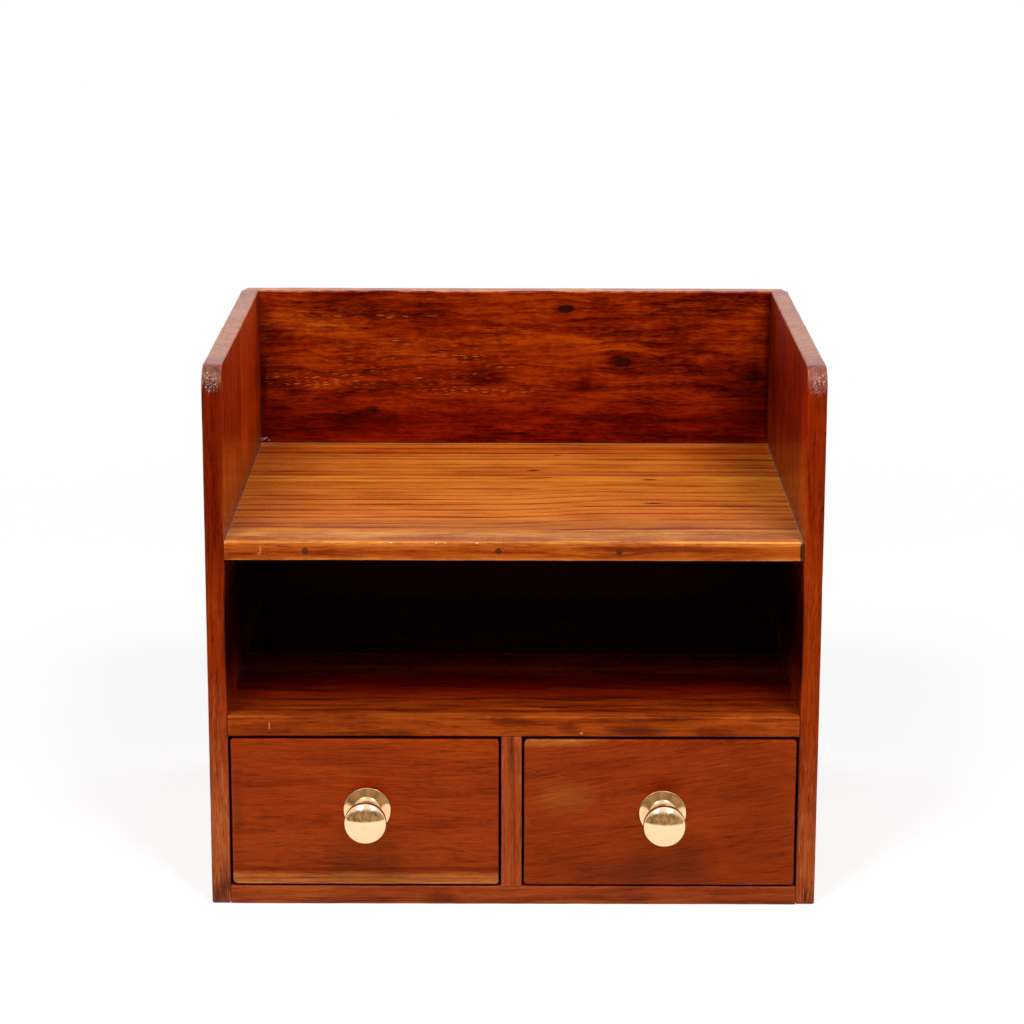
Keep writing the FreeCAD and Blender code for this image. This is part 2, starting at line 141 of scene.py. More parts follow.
class OrganizerKnobSettings(bpy.types.PropertyGroup):
    """Brass of the knobs and steel of their screws."""

    brass_colour: FloatVectorProperty(
        name="Brass", description="Colour of the polished brass",
        subtype="COLOR", size=3, min=0, max=1, default=(0.95, 0.66, 0.38))
    brass_roughness: FloatProperty(
        name="Head roughness", description="Roughness of the knob's polished head",
        subtype="FACTOR", min=0.02, max=0.6, default=0.10)
    foot_roughness: FloatProperty(
        name="Foot roughness", description="Roughness of the foot, which the cloth misses",
        subtype="FACTOR", min=0.02, max=0.6, default=0.13)
    around: IntProperty(
        name="Steps around", description="Mesh steps around a knob", min=24, max=192, default=96)
    neck_diameter: FloatProperty(
        name="Neck", description="Diameter of the knob's neck",
        subtype="DISTANCE", unit="LENGTH", min=0.006, max=0.0138, default=0.0114)
    rim_thickness: FloatProperty(
        name="Rim", description="Thickness of the foot's thin rim",
        subtype="DISTANCE", unit="LENGTH", min=0.0003, max=0.003, default=0.0009)
    foot_slope: FloatProperty(
        name="Foot's slope", description="How much the foot's face rises towards the neck",
        subtype="ANGLE", unit="ROTATION", min=math.radians(2), max=math.radians(20),
        default=math.radians(19))
    cove_radius: FloatProperty(
        name="Cove", description="Radius of the hollow between the foot and the neck",
        subtype="DISTANCE", unit="LENGTH", min=0.001, max=0.005, default=0.0045)
    head_diameter: FloatProperty(
        name="Head", description="Diameter of the knob's head",
        subtype="DISTANCE", unit="LENGTH", min=0.015, max=0.0255, default=0.0228)
    dome_radius: FloatProperty(
        name="Dome", description="Radius of the shallow dome on the knob's face",
        subtype="DISTANCE", unit="LENGTH", min=0.0125, max=0.06, default=0.019)
    shoulder_radius: FloatProperty(
        name="Shoulder", description="Radius where the dome turns into the head's side",
        subtype="DISTANCE", unit="LENGTH", min=0.0005, max=0.005, default=0.0015)
    side_length: FloatProperty(
        name="Side", description="Length of the head's straight side",
        subtype="DISTANCE", unit="LENGTH", min=0.0, max=0.004, default=0.001)
    back_radius: FloatProperty(
        name="Back of the head", description="Radius of the head's rounded back",
        subtype="DISTANCE", unit="LENGTH", min=0.005, max=0.011, default=0.008)


class OrganizerStageSettings(bpy.types.PropertyGroup):
    """Camera, lamps and floor."""

    lens: FloatProperty(
        name="Lens", description="Focal length in millimetres", min=20, max=300, default=107.54)
    camera_place: FloatVectorProperty(
        name="Camera", description="Where the camera stands",
        subtype="TRANSLATION", unit="LENGTH", size=3, default=(0.0001, -1.7071, 0.6032))
    camera_tilt: FloatProperty(
        name="Tilt", description="How far the camera looks down",
        subtype="ANGLE", unit="ROTATION", default=math.radians(13.60))
    camera_turn: FloatProperty(
        name="Turn", description="How far the camera is turned to the left",
        subtype="ANGLE", unit="ROTATION", default=math.radians(0.045))
    camera_roll: FloatProperty(
        name="Roll", description="How far the camera leans",
        subtype="ANGLE", unit="ROTATION", default=math.radians(0.12))
    key_power: FloatProperty(
        name="Softboxes", description="Power of each of the two lamps above the front",
        subtype="POWER", unit="POWER", min=0, max=500, default=25.0)
    glow_power: FloatProperty(
        name="Softboxes' glow", description="How strongly the two lamps show in polished things",
        subtype="POWER", unit="POWER", min=0, max=500, default=1.0)
    fill_power: FloatProperty(
        name="Back lamps", description="Power of each large lamp behind the object",
        subtype="POWER", unit="POWER", min=0, max=200, default=22.0)
    ambient: FloatProperty(
        name="Ambient light", description="Even light from all around",
        subtype="FACTOR", min=0, max=1, default=0.10)


# Shader nodes

SOCKETS = {"value": "NodeSocketFloat", "vector": "NodeSocketVector", "colour": "NodeSocketColor"}


class Net:
    """Adds shader nodes to a tree and joins them."""

    def __init__(self, tree):
        self.tree = tree

    def node(self, kind, **settings):
        made = self.tree.nodes.new(kind)
        for key, value in settings.items():
            setattr(made, key, value)
        return made

    def feed(self, socket, value):
        if isinstance(value, bpy.types.NodeSocket):
            self.tree.links.new(value, socket)
        else:
            socket.default_value = value

    def math(self, operation, *values, clamp=False):
        made = self.node("ShaderNodeMath", operation=operation, use_clamp=clamp)
        for socket, value in zip(made.inputs, values):
            self.feed(socket, value)
        return made.outputs[0]

    def total(self, *values):
        """The sum of these values."""
        so_far = values[0]
        for value in values[1:]:
            so_far = self.math("ADD", so_far, value)
        return so_far

    def vector(self, operation, *values):
        made = self.node("ShaderNodeVectorMath", operation=operation)
        for socket, value in zip(made.inputs, values):
            self.feed(socket, value)
        return made.outputs["Value" if operation in ("LENGTH", "DOT_PRODUCT") else "Vector"]

    def scaled(self, vector, factor):
        made = self.node("ShaderNodeVectorMath", operation="SCALE")
        self.feed(made.inputs[0], vector)
        self.feed(made.inputs["Scale"], factor)
        return made.outputs["Vector"]

    def split(self, vector):
        made = self.node("ShaderNodeSeparateXYZ")
        self.feed(made.inputs[0], vector)
        return list(made.outputs)

    def join(self, *values):
        made = self.node("ShaderNodeCombineXYZ")
        for socket, value in zip(made.inputs, values):
            self.feed(socket, value)
        return made.outputs[0]

    def noise(self, place, detail=2.0, rough=0.5):
        made = self.node("ShaderNodeTexNoise", noise_dimensions="3D")
        self.feed(made.inputs["Vector"], place)
        self.feed(made.inputs["Scale"], 1.0)
        self.feed(made.inputs["Detail"], detail)
        self.feed(made.inputs["Roughness"], rough)
        return made.outputs[0]

    def line_noise(self, place, detail=1.0):
        made = self.node("ShaderNodeTexNoise", noise_dimensions="1D")
        self.feed(made.inputs["W"], place)
        self.feed(made.inputs["Scale"], 1.0)
        self.feed(made.inputs["Detail"], detail)
        return made.outputs[0]

    def smooth(self, value, start, end, low=0.0, high=1.0):
        """Low before start, high after end, with a soft step between them."""
        made = self.node("ShaderNodeMapRange", interpolation_type="SMOOTHSTEP")
        for socket, given in zip(made.inputs, (value, start, end, low, high)):
            self.feed(socket, given)
        return made.outputs[0]

    def away(self, value, strength):
        """A noise value as a push either way of nothing, with this strength."""
        return self.math("MULTIPLY", self.math("SUBTRACT", value, 0.5), strength)

    def mix(self, share, first, second, blend="MIX"):
        made = self.node("ShaderNodeMix", data_type="RGBA", blend_type=blend)
        made.clamp_result = False
        for index, given in ((0, share), (6, first), (7, second)):
            self.feed(made.inputs[index], given)
        return made.outputs[2]

    def ramp(self, value, stops):
        made = self.node("ShaderNodeValToRGB")
        self.feed(made.inputs[0], value)
        points = made.color_ramp.elements
        points[0].position, points[1].position = stops[0][0], stops[-1][0]
        points[0].color, points[1].color = opaque(stops[0][1]), opaque(stops[-1][1])
        for position, colour in stops[1:-1]:
            points.new(position).color = opaque(colour)
        return made.outputs[0]

    def group(self, name, **values):
        """A shared effect, with each input named by its label with underscores for spaces."""
        made = self.node("ShaderNodeGroup", node_tree=effect(name))
        for key, value in values.items():
            self.feed(made.inputs[key.replace("_", " ")], value)
        return made.outputs


def opaque(colour):
    """A colour with its alpha."""
    return (*colour[:3], 1.0)


def effect(name):
    """The shared node group of this name, built when it is first used."""
    if name in bpy.data.node_groups:
        return bpy.data.node_groups[name]
    inputs, outputs, fill = EFFECTS[name]
    tree = bpy.data.node_groups.new(name, "ShaderNodeTree")
    for label, kind, default in inputs:
        socket = tree.interface.new_socket(name=label, in_out="INPUT", socket_type=SOCKETS[kind])
        socket.default_value = default
    for label, kind in outputs:
        tree.interface.new_socket(name=label, in_out="OUTPUT", socket_type=SOCKETS[kind])
    net = Net(tree)
    entry = net.node("NodeGroupInput")
    found = fill(net, {socket.name: socket for socket in entry.outputs if socket.name})
    leave = net.node("NodeGroupOutput")
    for label, socket in found.items():
        tree.links.new(socket, leave.inputs[label])
    return tree


def fill_growth_rings(net, given):
    """Rings around a pith line that runs along the grain, cut by the board's faces."""
    along = net.split(given["Grain"])[0]
    off_pith = net.split(net.vector("SUBTRACT", given["Grain"], given["Pith"]))
    radius = net.vector("LENGTH", net.join(0.0, off_pith[1], off_pith[2]))
    stretch = net.join(given["Waver Length"], given["Waver Width"], given["Waver Width"])
    waver = net.away(net.noise(net.vector("DIVIDE", given["Grain"], stretch), 2.0), given["Waver"])
    drift = net.smooth(along, given["Drift Start"], given["Drift End"], 0.0, given["Drift"])
    bent = net.total(radius, waver, drift)
    turns = net.math("DIVIDE", bent, given["Spacing"])
    uneven = net.away(net.line_noise(net.math("MULTIPLY", turns, 0.45)), given["Uneven"])
    saw = net.math("FRACT", net.math("ADD", turns, uneven))
    start = net.math("SUBTRACT", 0.94, given["Line Share"])
    rise = net.smooth(saw, start, 0.94)
    fall = net.smooth(saw, 0.94, 1.0, 1.0, 0.0)
    number = net.math("FLOOR", net.math("ADD", turns, uneven))
    strength = net.smooth(net.line_noise(net.math("MULTIPLY", number, 7.3)), 0.3, 0.6, 0.35, 1.0)
    line = net.math("MULTIPLY", net.math("MULTIPLY", rise, fall), strength)
    return {"Line": line, "Tone": saw}


def fill_fibre(net, given):
    """Streaks that run along the grain. From and To set how soft and how rare they are."""
    stretch = net.join(given["Length"], given["Width"], given["Width"])
    place = net.vector("DIVIDE", given["Grain"], stretch)
    value = net.noise(place, given["Detail"], 0.6)
    return {"Streak": net.smooth(value, given["From"], given["To"])}


def fill_pores(net, given):
    """Short open pores, each a fine dash along the grain."""
    stretch = net.join(given["Length"], given["Width"], given["Width"])
    cells = net.node("ShaderNodeTexVoronoi", feature="F1")
    net.feed(cells.inputs["Vector"], net.vector("DIVIDE", given["Grain"], stretch))
    net.feed(cells.inputs["Scale"], 1.0)
    dash = net.smooth(cells.outputs["Distance"], 0.42, 0.2)
    chance = net.split(cells.outputs["Color"])[0]
    there = net.math("LESS_THAN", chance, given["Share"])
    return {"Mask": net.math("MULTIPLY", dash, there)}


def fill_patch(net, given):
    """A soft patch with a ragged border that feathers along the grain."""
    reach = net.vector("DIVIDE", net.vector("SUBTRACT", given["Place"], given["Centre"]),
                       given["Reach"])
    feather = net.vector("DIVIDE", given["Grain"], (26.0, 2.4, 2.4))
    ragged = net.away(net.noise(feather, 3.0, 0.6), given["Ragged"])
    distance = net.math("ADD", net.vector("LENGTH", reach), ragged)
    inner = net.math("SUBTRACT", 1.0, given["Softness"])
    return {"Mask": net.smooth(distance, 1.0, inner)}


def fill_knot(net, given):
    """A knot: its core, the dark wood round it, thin lines along the grain, and how far it
    pushes the grain aside in two directions."""
    away = net.vector("SUBTRACT", given["Place"], given["Centre"])
    reach = net.vector("DIVIDE", away, given["Reach"])
    rough = net.away(net.noise(net.vector("DIVIDE", given["Place"], (2.8, 2.8, 2.8)), 3.0), 0.7)
    distance = net.math("ADD", net.vector("LENGTH", reach), rough)
    core = net.smooth(distance, 1.1, 0.7)
    halo = net.math("MULTIPLY", net.smooth(distance, 2.2, 1.0), net.math("SUBTRACT", 1.0, core))
    along, deep, high = net.split(reach)
    across = net.vector("LENGTH", net.join(0.0, deep, high))
    thin = net.smooth(net.math("ADD", across, net.math("MULTIPLY", rough, 0.5)), 0.34, 0.04)
    far = net.smooth(net.math("ABSOLUTE", along), 6.0, 1.0)
    tail = net.math("MULTIPLY", net.math("MULTIPLY", thin, far), 0.75)
    push = net.math("MULTIPLY", net.smooth(net.vector("LENGTH", reach), 4.2, 0.6), given["Push"])
    parts = net.split(away)
    return {"Core": core, "Halo": halo, "Tail": tail,
            "Shift Y": net.math("MULTIPLY", parts[1], push),
            "Shift Z": net.math("MULTIPLY", parts[2], push)}


def fill_edge_rub(net, given):
    """Where hands and cloths rub: along the edges between a board's faces."""
    off = net.vector("ABSOLUTE", net.vector("SUBTRACT", given["Place"], given["Centre"]))
    inside = net.split(net.vector("SUBTRACT", given["Half"], off))
    corner = given["Corner"]
    past_y = net.math("MAXIMUM", net.math("SUBTRACT", corner, inside[1]), 0.0)
    past_z = net.math("MAXIMUM", net.math("SUBTRACT", corner, inside[2]), 0.0)
    round_part = net.math("SUBTRACT", corner, net.vector("LENGTH", net.join(0.0, past_y, past_z)))
    straight = net.math("MINIMUM", inside[1], inside[2])
    outline = net.math("MINIMUM", straight, round_part)
    least = net.math("MINIMUM", inside[0], outline)
    most = net.math("MAXIMUM", inside[0], net.math("MAXIMUM", inside[1], inside[2]))
    pair = net.math("SUBTRACT", net.total(inside[0], inside[1], inside[2]), most)
    around = net.math("ADD", inside[0], outline)
    edge = net.math("MINIMUM", net.math("MAXIMUM", pair, least), around)
    worn = net.away(net.noise(net.scaled(given["Place"], 0.11), 3.0, 0.6), given["Ragged"])
    return {"Mask": net.smooth(net.math("ADD", edge, worn), given["Width"], 0.1)}


def fill_lacquer(net, given):
    """Brushed lacquer over the wood: how rough it is and how it ripples."""
    ripple = net.noise(net.vector("DIVIDE", given["Grain"], (9.0, 3.4, 3.4)), 2.0)
    speck = net.noise(net.scaled(given["Grain"], 1.7), 1.0)
    dull = net.noise(net.vector("DIVIDE", given["Grain"], (38.0, 22.0, 22.0)), 2.0)
    rough = net.total(given["Gloss"], net.away(dull, 0.16), net.away(speck, 0.10))
    height = net.total(net.math("MULTIPLY", ripple, 0.8), net.math("MULTIPLY", speck, 0.16))
    return {"Roughness": net.math("MAXIMUM", rough, 0.08), "Height": height}


def fill_turning(net, given):
    """Fine rings that the lathe and the polishing cloth leave around an axis along Y."""
    off = net.split(net.vector("SUBTRACT", given["Place"], given["Axis"]))
    radius = net.vector("LENGTH", net.join(off[0], 0.0, off[2]))
    groove = net.line_noise(net.math("ADD", net.math("MULTIPLY", radius, 5.5),
                                     net.math("MULTIPLY", off[1], 4.0)), 3.0)
    cloud = net.noise(net.scaled(given["Place"], 0.35), 3.0)
    scratch = net.noise(net.vector("DIVIDE", given["Place"], (2.6, 0.5, 0.22)), 2.0)
    rough = net.total(given["Roughness"], net.away(cloud, 0.10), net.away(scratch, 0.05))
    height = net.math("ADD", groove, net.math("MULTIPLY", scratch, 0.35))
    tarnish = net.smooth(net.noise(net.scaled(given["Place"], 0.22), 4.0, 0.65), 0.52, 0.72)
    return {"Roughness": net.math("MAXIMUM", rough, 0.03), "Height": height, "Tarnish": tarnish}


def fill_ply_layers(net, given):
    """Thin sheets glued crosswise, seen at the edges of the plywood."""
    deep = net.split(given["Place"])[2]
    sheets = net.math("DIVIDE", net.math("SUBTRACT", deep, given["Base"]), given["Sheet"])
    odd = net.math("LESS_THAN", net.math("FRACT", net.math("MULTIPLY", sheets, 0.5)), 0.5)
    rest = net.math("ABSOLUTE", net.math("SUBTRACT", net.math("FRACT", sheets), 0.5))
    return {"Cross": odd, "Glue": net.smooth(rest, 0.40, 0.5)}


def fill_grime(net, given):
    """Uneven specks and clouds, for putty, glue and plain steel."""
    fine = net.noise(net.scaled(given["Place"], 2.4), 3.0, 0.6)
    broad = net.noise(net.scaled(given["Place"], 0.5), 2.0)
    return {"Cloud": net.smooth(broad, 0.3, 0.7), "Speck": net.smooth(fine, 0.35, 0.65)}


VALUE, VECTOR = "value", "vector"
EFFECTS = {
    "Growth Rings": (
        [("Grain", VECTOR, (0, 0, 0)), ("Pith", VECTOR, (0, 0, -60)), ("Spacing", VALUE, 6),
         ("Line Share", VALUE, 0.35), ("Waver", VALUE, 2), ("Waver Length", VALUE, 90),
         ("Waver Width", VALUE, 30), ("Drift Start", VALUE, 0), ("Drift End", VALUE, 1),
         ("Drift", VALUE, 0), ("Uneven", VALUE, 0.6)],
        [("Line", VALUE), ("Tone", VALUE)], fill_growth_rings),
    "Wood Fibre": (
        [("Grain", VECTOR, (0, 0, 0)), ("Length", VALUE, 60), ("Width", VALUE, 1),
         ("Detail", VALUE, 2), ("From", VALUE, 0.3), ("To", VALUE, 0.7)],
        [("Streak", VALUE)], fill_fibre),
    "Wood Pores": (
        [("Grain", VECTOR, (0, 0, 0)), ("Length", VALUE, 4), ("Width", VALUE, 0.5),
         ("Share", VALUE, 0.3)],
        [("Mask", VALUE)], fill_pores),
    "Soft Patch": (
        [("Place", VECTOR, (0, 0, 0)), ("Grain", VECTOR, (0, 0, 0)), ("Centre", VECTOR, (0, 0, 0)),
         ("Reach", VECTOR, (10, 10, 10)), ("Ragged", VALUE, 0.6), ("Softness", VALUE, 0.5)],
        [("Mask", VALUE)], fill_patch),
    "Wood Knot": (
        [("Place", VECTOR, (0, 0, 0)), ("Centre", VECTOR, (0, 0, 0)), ("Reach", VECTOR, (6, 9, 3)),
         ("Push", VALUE, -0.6)],
        [("Core", VALUE), ("Halo", VALUE), ("Tail", VALUE), ("Shift Y", VALUE),
         ("Shift Z", VALUE)], fill_knot),
    "Edge Rub": (
        [("Place", VECTOR, (0, 0, 0)), ("Centre", VECTOR, (0, 0, 0)), ("Half", VECTOR, (10, 10, 10)),
         ("Corner", VALUE, 0), ("Width", VALUE, 1.6), ("Ragged", VALUE, 2.4)],
        [("Mask", VALUE)], fill_edge_rub),
    "Lacquer Skin": (
        [("Grain", VECTOR, (0, 0, 0)), ("Gloss", VALUE, 0.25)],
        [("Roughness", VALUE), ("Height", VALUE)], fill_lacquer),
    "Turned Marks": (
        [("Place", VECTOR, (0, 0, 0)), ("Axis", VECTOR, (0, 0, 0)), ("Roughness", VALUE, 0.1)],
        [("Roughness", VALUE), ("Height", VALUE), ("Tarnish", VALUE)], fill_turning),
    "Plywood Layers": (
        [("Place", VECTOR, (0, 0, 0)), ("Base", VALUE, 0), ("Sheet", VALUE, 1.3)],
        [("Cross", VALUE), ("Glue", VALUE)], fill_ply_layers),
    "Grime": (
        [("Place", VECTOR, (0, 0, 0))],
        [("Cloud", VALUE), ("Speck", VALUE)], fill_grime),
}


# Timber of each board. Places are millimetres in the case's own frame, and a patch's tint
# multiplies the wood's colour.

@dataclass
class Timber:
    """How one board's wood looks."""

    colour: str
    grain: str = "x"
    light: tuple = (1.45, 1.9, 2.1)
    dark: tuple = (0.48, 0.36, 0.40)
    pith: tuple = (0, 20, -90)
    spacing: float = 5.0
    line: float = 0.30
    line_share: float = 0.40
    tone: float = 0.16
    uneven: float = 0.8
    waver: float = 6.0
    waver_length: float = 110.0
    waver_width: float = 26.0
    drift: tuple = (0.0, 1.0, 0.0)
    slope: float = 0.0
    sway: float = 2.0
    sway_length: float = 60.0
    fibre: float = 0.26
    strand: float = 0.24
    fine: float = 0.26
    dark_streaks: float = 0.30
    blotch: float = 0.26
    mottle: float = 0.08
    length: float = 1.0
    coarse: float = 1.0
    pores: float = 0.30
    pore_share: float = 0.30
    base: float = 0.38
    seed: float = 0.0
    knots: tuple = ()
    patches: tuple = ()
    flecks: tuple = ()
    rub: float = 1.0
    corner: float = 0.0
    shine: float = 0.5
    shine_tint: tuple = (1.0, 0.30, 0.08)


def band(z, half_height, tint, ragged=0.5, softness=0.5):
    """A band that runs the whole length of a board at this height."""
    return ((0, 0, z), (EVERYWHERE, EVERYWHERE, half_height), tint, ragged, softness)


def on_front(x, z, reach_x, reach_z, tint, ragged=0.8, softness=0.8):
    """A patch on the case's front."""
    return ((x, CASE_FRONT, z), (reach_x, FACE_REACH, reach_z), tint, ragged, softness)


def on_top(y, z, reach_y, tint, ragged=0.7, softness=0.8, x=0, reach_x=EVERYWHERE):
    """A patch on a board's upper face at this height."""
    return ((x, y, z), (reach_x, reach_y, FACE_REACH), tint, ragged, softness)


def inside(x, z, half_height, tint, y=0, reach_y=EVERYWHERE):
    """A patch on the inner face of a side panel."""
    return ((x, y, z), (FACE_REACH, reach_y, half_height), tint, 0.3, 0.7)


def on_back(x, z, reach_x, reach_z, tint, ragged=0.6, softness=0.7):
    """A patch on the back, as it is seen above the shelf."""
    return ((x, BACK_FACE, z), (reach_x, 8.0, reach_z), tint, ragged, softness)


def flecks(centre, reach, share, size=(9.0, 0.85), colour=(0.72, 0.36, 0.10)):
    """Pale dashes or dots scattered over a patch, with their length and width."""
    return (centre, reach, share, size, colour)


def painted_corner_glints(x):
    """Painted glints: pale dots on a panel's rounded corner, standing in for the light that beads of
    thick lacquer catch there.
    """
    return (flecks((x, -126, 291), (6.8, 8, 8), 0.5, (0.75, 0.5), (0.92, 0.82, 0.82)),)


def painted_corner_sheen(x, tint):
    """Painted sheen: a pale veil on a panel's rounded corner, standing in for the light that its
    lacquer reflects there.
    """
    return ((x, -124, 293.5), (7.2, 9, 10.5), tint, 0.35, 0.35)


def scuffs(x, z, half_height, share):
    """Scuffed fibres low on a panel's front edge."""
    return flecks((x, CASE_FRONT, z), (9, FACE_REACH, half_height), share, (15.0, 0.42),
                  (0.38, 0.14, 0.055))


CASE_FRONT = -128.4
BACK_FACE = 118.0
FACE_REACH = 1.6
INNER_LEFT, INNER_RIGHT = -154.5, 154.5
COMPARTMENT_MIDDLE, COMPARTMENT_HALF = 151, 46

SIDE = dict(colour="side_colour", grain="z", corner=12.0, spacing=7.0, line=0.20, tone=0.10,
            fibre=0.20, strand=0.28, fine=0.30, blotch=0.22, pith=(0, 70, -40), waver=9,
            waver_length=150, pore_share=0.42, pores=0.36, shine=0.26,
            shine_tint=(1.0, 0.26, 0.05))
BACK = dict(colour="back_colour", light=(1.75, 2.9, 2.0), dark=(0.36, 0.14, 0.4), spacing=5.0,
            line=0.14, line_share=0.5, tone=0.12, fibre=0.30, strand=0.26, fine=0.32, blotch=0.52,
            mottle=0.26, length=0.6, dark_streaks=0.20, waver=10, waver_length=60,
            waver_width=18, pith=(0, -70, 120), base=0.40, sway=1.8, sway_length=40.0, shine=0.34,
            shine_tint=(1.0, 0.22, 0.03))
SHELF = dict(colour="shelf_colour", light=(1.22, 1.42, 1.7), dark=(0.50, 0.34, 0.36),
             fibre=0.30, strand=0.28, fine=0.26, blotch=0.30, dark_streaks=0.28, tone=0.16,
             coarse=1.4, length=1.5, pores=0.14, sway=0.8, base=0.35,
             shine_tint=(1.0, 0.42, 0.16))
LOWER = dict(colour="middle_shelf_colour", light=(1.5, 2.2, 2.2), dark=(0.40, 0.28, 0.4),
             spacing=8.0, line=0.24, fibre=0.30, blotch=0.36, waver=12,
             shine_tint=(1.0, 0.26, 0.05))
FLOOR = dict(colour="bottom_colour", light=(1.4, 1.9, 2.0), dark=(0.46, 0.34, 0.42),
             spacing=6.0, line=0.20, fibre=0.26, blotch=0.28, shine_tint=(1.0, 0.36, 0.12))
FRONT = dict(colour="front_colour", light=(1.30, 1.75, 2.1), dark=(0.50, 0.38, 0.46), line=0.14,
             tone=0.10, fibre=0.16, strand=0.24, fine=0.36, blotch=0.16, dark_streaks=0.32,
             length=0.8, pores=0.20, pore_share=0.30)
PLAIN = dict(colour="box_colour", light=(1.22, 1.32, 1.5), dark=(0.62, 0.50, 0.40), line=0.26,
             tone=0.16, dark_streaks=0.16, pores=0.25, rub=0.5)

# Painted shade: the compartment's walls are darkened in their colour, standing in for the shade deep
# inside it
PAINTED_COMPARTMENT_SHADE = (0.16, 0.06, 0.12)


def painted_shade_inside(x):
    """Painted shade on a side panel's face inside the compartment."""
    return inside(x, COMPARTMENT_MIDDLE, COMPARTMENT_HALF, PAINTED_COMPARTMENT_SHADE)


def painted_top_reflection(x):
    """Painted reflection: the top edge of a side panel made pale, standing in for the white room
    that its glossy top reflects.
    """
    return ((x, 4, 299), (20, 124, 1.8), (1.5, 4.0, 9.0), 0.3, 0.3)


